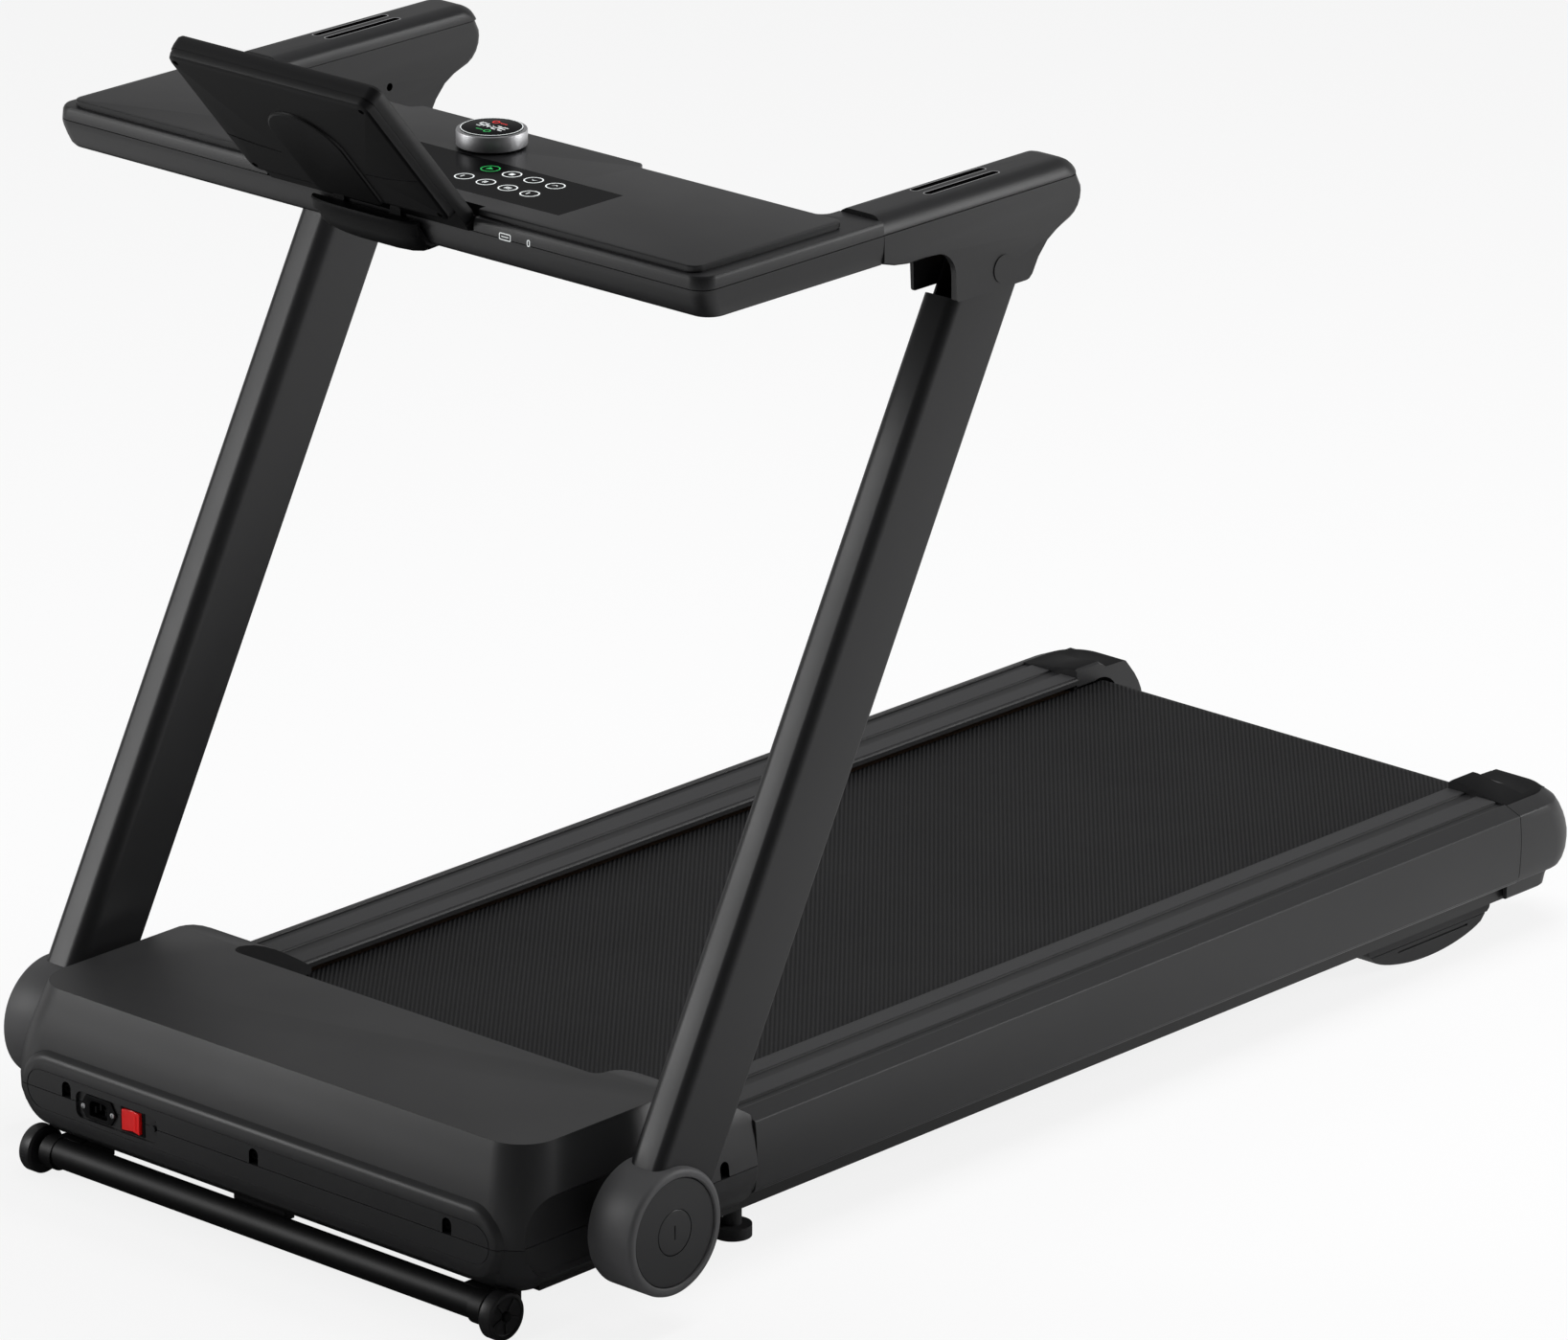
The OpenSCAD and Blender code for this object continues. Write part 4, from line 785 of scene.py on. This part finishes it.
# Each outline: place across the handle, how far it pulls in, how far its top drops or its foot rises.
grip = loft(*[upper_ring(*ring) for ring in (
    (HANDLE_IN, 13, 9), (HANDLE_IN + 2, 9, 5.5), (HANDLE_IN + 5, 6, 3), (HANDLE_IN + 9.5, 3, 0.5),
    (HANDLE_IN + 14, 1, 0), (393, 0, 0), (404, 1, 0), (410, 3, 0.3), (414, 5, 1.6), (420.6, 10, 8.5),
    (422.8, 13, 14), (HANDLE_OUT - 0.6, 14.5, 16.2))])
skirted = loft(*[lower_ring(*ring) for ring in (
    (HANDLE_IN, 15, 2), (HANDLE_IN + 1, 12, 0.6), (HANDLE_IN + 4, 8, 0), (HANDLE_IN + 12, 2.5, 0),
    (393, 0, 0), (408, 2.5, 0), (417, 7.5, 0), (421, 10.5, 0.4), (423, 13, 1.2), (HANDLE_OUT, 15, 2.4))])
print("handle", len(grip.data.vertices), len(skirted.data.vertices), "vertices")

# %% Handle shells
sensor_x = [(HANDLE_IN + HANDLE_OUT) / 2 - 2.5 + d for d in (-8.4, 8.4)]
sensor_y = (PIVOT_Y - 84, PIVOT_Y + 17)

def sensor_slot(x, grow, z0, z1):
    return slab(rounded(x - 4.4 - grow, sensor_y[0] - grow, x + 4.4 + grow, sensor_y[1] + grow,
                        4.3 + grow, 6), z0, z1)

cut(skirted, box(HANDLE_IN + 3.5, HANDLE_OUT - 7, 346, 487, 900, 1001),
    turned_x([(HANDLE_IN - 3, 7.9), (HANDLE_OUT + 3, 7.9)], PIVOT_Y, PIVOT_Z, 32))
for x in sensor_x:
    cut(grip, sensor_slot(x, 0.8, TOP - 2, TOP + 3))
sensor_parts = []
for x in sensor_x:
    rim = sensor_slot(x, 0.7, TOP - 2, TOP + 0.12)
    sensor_parts.append(cut(rim, sensor_slot(x, -0.5, TOP - 5, TOP + 3)))
    sensor_parts.append(sensor_slot(x, -0.5, TOP - 2, TOP - 1.2))
sensors = merge(*sensor_parts)
for o, name, cad_name, paint in ((grip, "handle_top", "handle_covers", console_black),
                                 (skirted, "handle_skirt", "handle_brackets", console_black),
                                 (sensors, "pulse_strip", "pulse_sensors", chrome)):
    twin = mirrored(o)
    finish(o, name + "_right", "console", paint, cad_name)
    finish(twin, name + "_left", "console", paint)
# The walls and the sunk floor of each pulse strip take the near-black paint as painted shade; only the rim's
# top stays chrome.
for o in (sensors, twin):
    o.data.materials.append(recess_shade_black)
    for f in o.data.polygons:
        if f.normal.z < 0.9 or f.center.z * 1000 < TOP - 0.5:
            f.material_index = 1
print("handles done")

# %% [markdown]
# ## Speed knob and display
# A brushed metal ring turns round a fixed glass disc that shows the speed. The marks on
# the glass are thin raised shapes with a faint glow of their own.

# %% Glowing marks
def glowing(name, colour, strength):
    m = material(name, "black_glass", colour, 0.4, bump=0.0, drift=0.05)
    s = m.node_tree.nodes["Principled BSDF"]
    s.inputs["Emission Color"].default_value = shade(colour)
    s.inputs["Emission Strength"].default_value = strength
    return m

mark_white = glowing("mark_white", "d8dcdc", 0.5)
mark_green = glowing("mark_green", "1f9a4a", 0.45)
mark_red = glowing("mark_red", "d02020", 0.5)

MARK_H = 0.12

def mark(outline, z):
    return slab(outline, z, z + MARK_H)

def mark_bar(x0, x1, y0, y1, z):
    return box(x0, x1, y0, y1, z, z + MARK_H)

def flat_ring(x, y, z, r, width, height=MARK_H, n=40):
    ring = turned_z([(z, r), (z + height, r)], x, y, n)
    return cut(ring, turned_z([(z - 1, r - width), (z + 1, r - width)], x, y, n))

# %% Knob
ring_low, ring_high = in_mm(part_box("knob_ring"))
KNOB_Y = (ring_low[1] + ring_high[1]) / 2 - HUB_Y * 1000
KNOB_R = (ring_high[0] - ring_low[0]) / 2
k0, k1 = ring_low[2], ring_high[2]
knob = turned_z([(k0, KNOB_R - 1.2), (k0 + 0.6, KNOB_R - 0.3), (k0 + 1.4, KNOB_R), (k1 - 1.4, KNOB_R),
                 (k1 - 0.4, KNOB_R - 0.5), (k1, KNOB_R - 1.4)], 0, KNOB_Y, 128)
cut(knob, turned_z([(k0 - 2, KNOB_R - 4), (k1 + 2, KNOB_R - 4)], 0, KNOB_Y, 96))
finish(knob, "knob_metal_ring", "knob", ring_metal, "knob_ring")
dial = turned_z([(PLATE, KNOB_R - 2.6), (PLATE + 1.6, KNOB_R - 2.6), (PLATE + 1.7, KNOB_R - 5.2),
                 (k1 - 1, KNOB_R - 5.2), (k1 - 0.9, KNOB_R - 4.2), (k1 + 0.5, KNOB_R - 4.2),
                 (k1 + 1.2, KNOB_R - 4.9), (k1 + 1.45, KNOB_R - 6)], 0, KNOB_Y, 128)
finish(dial, "knob_glass", "console", glass_black, "knob_display")
halo = flat_ring(0, KNOB_Y, k1 + 1.0, KNOB_R - 4.3, 0.7, 0.25, 96)
finish(halo, "knob_rim_line", "console", mark_white)
print("knob radius", round(KNOB_R, 1))

# %% Knob figures
GLYPH_Z = k1 + 1.4
SEGMENTS = {"3": "abgcd", "2": "abged", "4": "fgbc", "5": "afgcd"}

def figure(ch, x, y, w=5.2, h=9.6, t=1.3):
    """One seven-bar figure, upright for a user who stands at +Y and looks to -Y."""
    bars = {"a": (0, h, w, t), "g": (0, h / 2, w, t), "d": (0, 0, w, t), "b": (w, h / 2, t, h / 2),
            "c": (w, 0, t, h / 2), "f": (0, h / 2, t, h / 2), "e": (0, 0, t, h / 2)}
    made = []
    for s in SEGMENTS[ch]:
        bx, by, bw, bh = bars[s]
        made.append(mark_bar(x - bx - bw, x - bx, y - by - bh, y - by, GLYPH_Z))
    return made

made = []
for i, ch in enumerate("3245"):
    made += figure(ch, 17.5 - i * 8.4 - (2.5 if i > 1 else 0), KNOB_Y + 5.2)
for dy in (2.6, -1.2):
    made.append(mark_bar(-0.9, 0.5, KNOB_Y + dy - 0.6, KNOB_Y + dy + 0.6, GLYPH_Z))
finish(merge(*made), "knob_figures", "console", mark_white)
low_sign = merge(flat_ring(-7, KNOB_Y + 13.5, GLYPH_Z, 3.8, 1.2),
                 mark_bar(-1.5, 7.5, KNOB_Y + 12.8, KNOB_Y + 14, GLYPH_Z))
finish(low_sign, "knob_sign_low", "console", mark_red)
high_sign = merge(flat_ring(7, KNOB_Y - 13.5, GLYPH_Z, 3.8, 1.2),
                  mark_bar(-7.5, 1.5, KNOB_Y - 14.2, KNOB_Y - 13, GLYPH_Z))
finish(high_sign, "knob_sign_high", "console", mark_green)
print("figures set")

# %% Touch keys
KEY_Z = PLATE - 0.05

def arrow(x, y, tip):
    return mark([(x, y - tip / 2 + 1.3), (x + 3.6, y + tip / 2), (x, y - tip / 2),
                 (x - 3.6, y + tip / 2)], KEY_Z)

keys = []
for i in range(4):
    for row, (x, y) in enumerate(((52 + 28 * i, FRONT + 108), (51.3 + 28.2 * i, FRONT + 73.7))):
        ring = flat_ring(x, y, KEY_Z, 9.6, 1.25)
        if row == 0 and i == 0:
            start = merge(ring, mark([(x - 3, y - 4), (x + 3.6, y), (x - 3, y + 4)], KEY_Z))
            finish(start, "start_key", "console", mark_green)
            continue
        keys.append(ring)
        if row == 1:
            keys += [mark_bar(x - 3 + j * 2.4, x - 1.8 + j * 2.4, y - 2.8, y + 2.8, KEY_Z)
                     for j in range(i % 3 + 1)]
        elif i == 1:
            keys.append(mark_bar(x - 2.6, x + 2.6, y - 2.6, y + 2.6, KEY_Z))
        else:
            keys.append(arrow(x, y, 3.2 if i == 2 else -3.2))
finish(merge(*keys), "touch_keys", "console", mark_white)
print("eight touch keys")

# %% Front sockets
PORT_Z = 1009.6

def port(x, half_w, half_h, r, line=0.8):
    outer = rounded(x - half_w, PORT_Z - half_h, x + half_w, PORT_Z + half_h, r, 6)
    inner = rounded(x - half_w + line, PORT_Z - half_h + line, x + half_w - line, PORT_Z + half_h - line,
                    r * 0.6, 6)
    return cut(along_y(outer, FRONT - 0.12, FRONT + 0.6), along_y(inner, FRONT - 3, FRONT + 3))

sockets = merge(port(175, 7.4, 3.4, 1.6), box(170.5, 179.5, FRONT - 0.1, FRONT + 0.3, 1009.2, 1010),
                port(205, 1.9, 3.2, 1.8))
# The outlines take the glowing white mark finish, so they carry a faint painted glow; the sockets give no
# light of their own.
finish(sockets, "socket_outlines", "console", mark_white)
print("sockets outlined")

# %% [markdown]
# ## Tablet holder
# A slab leans over the console's front edge. Its places are easiest to give on the slab:
# x across, s up the slope, t through the thickness; one helper leans them into place.

# %% Holder slab
TILT = radians(40)
PIN_Y, PIN_Z = FRONT + 4.2, UNDER + 43 - 7.3

def leaned(x, s, t):
    return (x, PIN_Y + t * cos(TILT) - s * sin(TILT), PIN_Z + t * sin(TILT) + s * cos(TILT))

HOLDER_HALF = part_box("tablet_holder")[1][0] * 1000
HOLDER_TOP = 199.5

def slab_ring(t, inset, low=0, r=10):
    half = HOLDER_HALF - inset
    line = rounded(-half, low + inset, half, HOLDER_TOP - inset, r - inset * 0.5, 8)
    return [leaned(x, s, t) for x, s in line]

def pad(outline, t0, t1):
    return loft([leaned(x, s, t0) for x, s in outline], [leaned(x, s, t1) for x, s in outline])

slab_body = loft(*[slab_ring(t, inset)
                   for t, inset in ((-8, 0.6), (-3, 0), (4.5, 0), (7.2, 1.4), (8, 4))])
raised = loft(*[slab_ring(t, inset, 21, 12)
                for t, inset in ((-17.5, 6.4), (-17, 4), (-15.6, 2.2), (-12, 1), (-7.6, 0.8))])
tongue_line = [(-45, 30)] + arc(-37, 30, 8, 180, 270, 4) + arc(37, 30, 8, 270, 360, 4)
tongue_line += arc(0, 104, 46, 0, 180, 24)

def tongue_ring(t, narrow, shorten):
    return [leaned(x * narrow, s - (s - 90) * shorten, t) for x, s in tongue_line]

tongue = loft(tongue_ring(-16.5, 1, 0), tongue_ring(-19.4, 0.985, 0.012), tongue_ring(-20.4, 0.95, 0.04))
cut(slab_body, raised, tongue, how="UNION")
cut(slab_body, pad(rounded(-HOLDER_HALF + 10, 24, HOLDER_HALF - 10, HOLDER_TOP - 9.5, 8, 6), 5, 12))
hinge_bar = turned_x([(-HOLDER_HALF + 2, 7), (-HOLDER_HALF + 3, 8), (HOLDER_HALF - 3, 8),
                      (HOLDER_HALF - 2, 7)], PIN_Y, PIN_Z, 48)
cut(slab_body, hinge_bar, how="UNION")
for s in (-1, 1):
    cut(slab_body, side_box(s, 29.5, 44.5, PIN_Y - 20, PIN_Y + 14, PIN_Z - 20, PIN_Z + 10))
for x, s in ((-121, 188.5), (121, 188.5), (-121, 32), (121, 32)):
    hole = [(x + 3.4 * cos(a * pi / 12), s + 3.4 * sin(a * pi / 12)) for a in range(24)]
    cut(slab_body, pad(hole, -24, -13))
print("holder slab", len(slab_body.data.vertices), "vertices")

# %% Holder details
def band(points, width):
    """A thin strip that follows a line of points on the slab's back."""
    left, right = [], []
    for i, (x, s) in enumerate(points):
        a, b = points[max(i - 1, 0)], points[min(i + 1, len(points) - 1)]
        d = ((b[0] - a[0]) ** 2 + (b[1] - a[1]) ** 2) ** 0.5
        w = width * (0.25 + 0.75 * sin(pi * (i + 0.6) / (len(points) + 0.2))) / 2
        nx, ns = -(b[1] - a[1]) / d * w, (b[0] - a[0]) / d * w
        left.append((x + nx, s + ns))
        right.append((x - nx, s - ns))
    return left + right[::-1]

for crease in ([(-128, 79), (-110, 76), (-92, 73.5), (-60, 71)],
               [(50, 71.5), (74, 74), (100, 78.5), (127, 85)]):
    cut(slab_body, pad(band(crease, 2.6), -24, -16.6))
ledge = merge(pad(rounded(-90, 14, 90, 18, 0.8, 3), 7, 22), pad(rounded(-90, 14, 90, 24, 1.2, 3), 19, 22))
holder = merge(slab_body, soften(ledge, 0.6, 2, 40))
finish(holder, "tablet_slab", "holder", holder_black, "tablet_holder", angle=28)
# Faces that look back and down, away from the lamps, take the darker paint: painted shade.
holder.data.materials.append(holder_back)
backwards = Vector((0, -cos(TILT), -sin(TILT)))
BACK_FACING = 0.6
for f in holder.data.polygons:
    if f.normal.dot(backwards) > BACK_FACING:
        f.material_index = 1
print("holder done")

# %% Holder saddle
def saddle_ring(x, pull):
    y, z = PIN_Y, UNDER
    line = [(y + 40, z - 0.2), (y + 40, z - 5 + pull), (y + 34, z - 8.5 + pull)]
    line += [(y + 20, z - 12 + pull * 1.4), (y + 8, z - 11.5 + pull * 1.2)]
    line += [(y - 2 + pull * 0.3, z - 6 + pull), (y - 9 + pull * 0.5, z + 4 + pull)]
    line += [(y - 13 + pull * 0.4, z + 13), (y - 21 + pull * 1.2, z + 21)]
    line += [(y - 24 + pull * 1.4, z + 25), (y - 23 + pull * 1.4, z + 26.6), (y - 8.6, z + 26.8)]
    return side_on(line + [(y - 8.4, z + 22), (y + 6.5, z + 2.4)], x)

half_rings = [(69, 8.5), (66, 6), (58, 3.2), (44, 1), (24, 0)]
saddle = loft(*[saddle_ring(-x, pull) for x, pull in half_rings],
              *[saddle_ring(x, pull) for x, pull in reversed(half_rings)])
lugs = []
for s in (-1, 1):
    lug = turned_x([(s * 30, 7.2), (s * 30.8, 8), (s * 43.2, 8), (s * 44, 7.2)], PIN_Y, PIN_Z, 40)
    lugs += [lug, side_box(s, 30, 44, PIN_Y - 8, PIN_Y + 3, PIN_Z - 10.6, PIN_Z)]
# The saddle under the console gets the same dark paint, as painted shade.
finish(merge(saddle, *lugs), "holder_saddle", "console", holder_back, "holder_mount", angle=28)
print("saddle done")

# %% [markdown]
# ## Transport bar, feet and mains panel
# Small parts carry a lot of the look: a fat tube with collars and two wheels, two rounded
# rear feet, the mains socket with its pins, and the red rocker switch.

# %% Transport bar and wheels
TUBE_Z, COLLAR_Z = BAR_Z + 2.5, BAR_Z + 1.4
pieces = [turned_x([(-297, 9), (-296, 15.2), (296, 15.2), (297, 9)], BAR_Y, TUBE_Z, 64)]
for s in (-1, 1):
    collar = [(s * 281, 15.6), (s * 281.4, 16.8), (s * 296.6, 16.8), (s * 298, 15.8)]
    pieces.append(turned_x(collar, BAR_Y, COLLAR_Z, 64))
    pieces.append(turned_x([(s * 296, 5), (s * 319.2, 5), (s * 319.8, 4.2)], BAR_Y, BAR_Z, 32))
    pieces.append(soften(side_box(s, 258, 290, BAR_Y + 2, -70, 16, 42), 1.5, 2))
finish(merge(*pieces), "transport_tube", "base", bar_coat, "transport_bar")
wheel = turned_x([(302, 12), (302, 21.5), (303, 23), (304.5, 24), (315.6, 24), (317.2, 23.2), (318, 21.8),
                  (318, 20), (316.6, 19), (315.8, 17)], BAR_Y, BAR_Z, 96)
cut(wheel, turned_x([(300, 5.1), (320, 5.1)], BAR_Y, BAR_Z, 32))
spokes = [box(315, 317.2, BAR_Y - 1.1, BAR_Y + 1.1, BAR_Z - 17.5, BAR_Z - 6.5) for _ in range(5)]
centre = at((0, BAR_Y, BAR_Z))
for i, spoke in enumerate(spokes):
    turning = Matrix.Rotation(radians(72 * i), 4, "X")
    spoke.data.transform(Matrix.Translation(centre) @ turning @ Matrix.Translation(-centre))
wheel = merge(wheel, *spokes)
finish_pair(wheel, "roll_wheel_{}", "wheel_{}", wheel_black, "transport_wheel_{}")
print("transport bar done")

# %% Rear feet
def foot():
    top = [(1146, 42), (1150, 27), (1153, 23.5), (1341, 23.5), (1345, 27), (1349, 42)]
    carrier = soften(along_x(top, 274.5, 307.5), 1.2, 2)
    low = [(1156 + 184 * t, 22.4 - 22.4 * sin(pi * t) ** 0.55) for t in [i / 24 for i in range(1, 24)]]
    sole = soften(along_x([(1156, 22.9)] + low + [(1340, 22.9)], 275.5, 306.5), 1.2, 2, 40)
    cut(sole, box(304.5, 310, 1198, 1310, 17, 19))
    return merge(carrier, sole)

right_foot = foot()
left_foot = mirrored(right_foot)
finish(merge(right_foot, left_foot), "rear_foot_pair", "base", soft_rubber, "rear_feet")
print("feet done")

# %% Mains panel
PANEL = -131
INLET_X, INLET_Z = -213.7, 92.4

def socket_hole(y0, y1):
    return along_y(rounded(-225.7, 84.4, -201.7, 100.4, (2, 2, 6, 6), 5), y0, y1)

def switch_hole(y0, y1):
    return box(-180.6, -154.4, y0, y1, 82.4, 104.6)

plate_back = along_y(rounded(-242, 80.5, -132, 106, 7, 6), PANEL, PANEL + 2)
flange_line = [(-238.5, INLET_Z), (-230.8, 105), (-196.6, 105), (-188.9, INLET_Z), (-196.6, 80.9),
               (-230.8, 80.9)]
inlet = along_y(flange_line, PANEL - 2.6, PANEL)
cut(inlet, socket_hole(PANEL - 6, PANEL + 6))
well = along_y(rounded(-227.5, 82.8, -199.9, 102, 2.5, 4), PANEL, PANEL + 22)
cut(well, socket_hole(PANEL - 3, PANEL + 20))
cut(plate_back, socket_hole(PANEL - 6, PANEL + 6), box(-181, -154, PANEL - 3, PANEL + 6, 83, 103))
finish(merge(plate_back, soften(inlet, 0.5, 2), well), "inlet_body", "base", dark_trim_and_shade, "power_inlet")
pins = [box(INLET_X + dx - 1, INLET_X + dx + 1, PANEL + 1, PANEL + 16, INLET_Z + dz - 3.4, INLET_Z + dz + 3.4)
        for dx, dz in ((-7, -1.6), (0, 2.6), (7, -1.6))]
heads = []
for dx in (-20, 20):
    x = INLET_X + dx
    head = turned_y([(PANEL - 2.5, 2.9), (PANEL - 3.4, 2.7), (PANEL - 3.7, 1.8)], x, INLET_Z, 24)
    heads.append(cut(head, box(x - 0.35, x + 0.35, PANEL - 6, PANEL - 3.2, 89, 96)))
# The metal pins deep in the socket well take the dark paint: painted shade.
finish(merge(*pins), "inlet_pins", "base", dark_trim_and_shade)
finish(merge(*heads), "inlet_screws", "base", ring_metal)
print("inlet done")

# %% Switch
bezel = soften(along_y(rounded(-184, 80.4, -151, 106.4, 1.5, 4), PANEL - 1.4, PANEL + 0.2), 0.6, 2)
cut(bezel, switch_hole(PANEL - 6, PANEL + 6))
sleeve = box(-181.8, -153.2, PANEL, PANEL + 20, 81.4, 105.6)
cut(sleeve, switch_hole(PANEL - 6, PANEL + 18))
finish(merge(bezel, sleeve), "switch_bezel", "base", dark_trim_and_shade, "switch_frame")
X0, Z0, Z1 = -167.5, 82.8, 104.2
rocker_line = [(X0 - 12, PANEL - 4.4), (X0, PANEL - 1.6), (X0 + 12, PANEL - 4.4)]
rocker_line += arc(X0, PANEL + 2.5, 12, 8, 172, 12)
rocker = soften(slab(rocker_line, Z0, Z1), 0.7, 2, 40)
grooves = [box(X0 + x, X0 + x + 0.6, PANEL - 8, PANEL - 2.5, Z0 + 3, Z1 - 3) for x in (3.5, 5.2, 6.9)]
cut(rocker, *grooves)
finish(rocker, "rocker_red", "rocker", switch_red, "switch_rocker")
print("switch done")

# %% [markdown]
# ## Studio
# A white floor and sky. What the black mouldings mirror matters most. The mirrored floor is
# bright to either side and dim between, and the mirrored sky is bright beyond the machine
# and dim on the viewer's side. Two lamps graze from left and right, so faces read light and
# the corners between them read dark.

# %% Node helpers for light
def chain(tree, *steps):
    """Builds a row of Math nodes; each step is an operation with its second value."""
    result = steps[0]
    for op, value in steps[1:]:
        n = node(tree, "Math")
        n.operation = op
        tree.links.new(result, n.inputs[0])
        n.inputs[1].default_value = value
        result = n.outputs[0]
    return result

def toward(tree, vector, direction, near, far):
    """0 below near and 1 above far, measured along one level direction."""
    d = node(tree, "VectorMath")
    d.operation = "DOT_PRODUCT"
    d.inputs[1].default_value = direction
    tree.links.new(vector, d.inputs[0])
    r = node(tree, "MapRange", From_Min=near, From_Max=far)
    r.interpolation_type = "SMOOTHSTEP"
    tree.links.new(d.outputs["Value"], r.inputs["Value"])
    return r.outputs["Result"]

def either(tree, a, b):
    n = node(tree, "Math")
    n.operation = "MAXIMUM"
    tree.links.new(a, n.inputs[0])
    tree.links.new(b, n.inputs[1])
    return n.outputs[0]

# %% Floor
RIGHT, NEAR_LEFT, BEYOND = (0.736, 0.677, 0), (-0.55, -0.835, 0), (-0.677, 0.736, 0)
FLOOR_SIZE, FLOOR_SEEN, DIMMEST = 60, 0.85, 0.02
bpy.ops.object.select_all(action="DESELECT")
bpy.ops.mesh.primitive_plane_add(size=FLOOR_SIZE, location=(0, 0, 0))
floor = bpy.context.object
floor.name = "floor"
white = bpy.data.materials.new("studio_white")
white.use_nodes = True
floor.data.materials.append(white)
ground = white.node_tree
link = ground.links.new
paper = ground.nodes["Principled BSDF"]
paper.inputs["Base Color"].default_value = (0.86, 0.86, 0.87, 1)
paper.inputs["Roughness"].default_value = 0.9
glow = node(ground, "Emission")
mirror_glow = node(ground, "Emission")
ray = node(ground, "LightPath")
spot = node(ground, "NewGeometry").outputs["Position"]
sides = either(ground, toward(ground, spot, RIGHT, -0.3, 0.9), toward(ground, spot, NEAR_LEFT, 0.8, 1.5))
link(chain(ground, sides, ("MULTIPLY", 0.8), ("ADD", DIMMEST)), mirror_glow.inputs["Strength"])
seen = node(ground, "MixShader")
mirrored_floor = node(ground, "MixShader")
link(chain(ground, ray.outputs["Is Camera Ray"], ("MULTIPLY", FLOOR_SEEN)), seen.inputs["Fac"])
link(paper.outputs[0], seen.inputs[1])
link(glow.outputs[0], seen.inputs[2])
link(ray.outputs["Is Glossy Ray"], mirrored_floor.inputs["Fac"])
link(seen.outputs[0], mirrored_floor.inputs[1])
link(mirror_glow.outputs[0], mirrored_floor.inputs[2])
link(mirrored_floor.outputs[0], ground.nodes["Material Output"].inputs["Surface"])
print("floor laid,", len(ground.nodes), "nodes")

# %% Sky
world = bpy.data.worlds.new("studio")
bpy.context.scene.world = world
world.use_nodes = True
sky = world.node_tree
back_light = sky.nodes["Background"]
back_light.inputs["Color"].default_value = (1, 1, 1, 1)
link = sky.links.new
path = node(sky, "LightPath")
heading = node(sky, "TexCoord")
beyond = toward(sky, heading.outputs["Generated"], BEYOND, -0.25, 0.9)
mirror_sky = chain(sky, beyond, ("MULTIPLY", 0.36), ("ADD", DIMMEST))
SKY_LIGHT, SKY_SEEN = 0.2, 1.0
shown = node(sky, "Mix", A=SKY_LIGHT)
link(path.outputs["Is Glossy Ray"], shown.inputs["Factor"])
link(mirror_sky, shown.inputs["B"])
level = node(sky, "Mix", B=SKY_SEEN)
link(path.outputs["Is Camera Ray"], level.inputs["Factor"])
link(shown.outputs["Result"], level.inputs["A"])
link(level.outputs["Result"], back_light.inputs["Strength"])
print("sky set,", len(sky.nodes), "nodes")

# %% Lamps
def lamp(name, place, target, size, power):
    light = bpy.data.lights.new(name, "AREA")
    light.shape = "RECTANGLE"
    light.size, light.size_y = size
    light.energy = power
    o = bpy.data.objects.new(name, light)
    bpy.context.scene.collection.objects.link(o)
    o.location = place
    o.rotation_euler = (Vector(target) - Vector(place)).to_track_quat("-Z", "Y").to_euler()
    return o

key = lamp("key_above", (0.3, 0.6, 4.2), (0.1, 0, 0.4), (2.6, 2.6), 130)
key.visible_glossy = False
lamp("right_strip", (3.4, 3.2, 2.0), (0.2, 0, 0.4), (1.4, 2.2), 90)
lamp("left_strip", (-3.2, -3.6, 2.0), (0, -0.3, 0.4), (1.4, 2.2), 72)
print("studio lit")
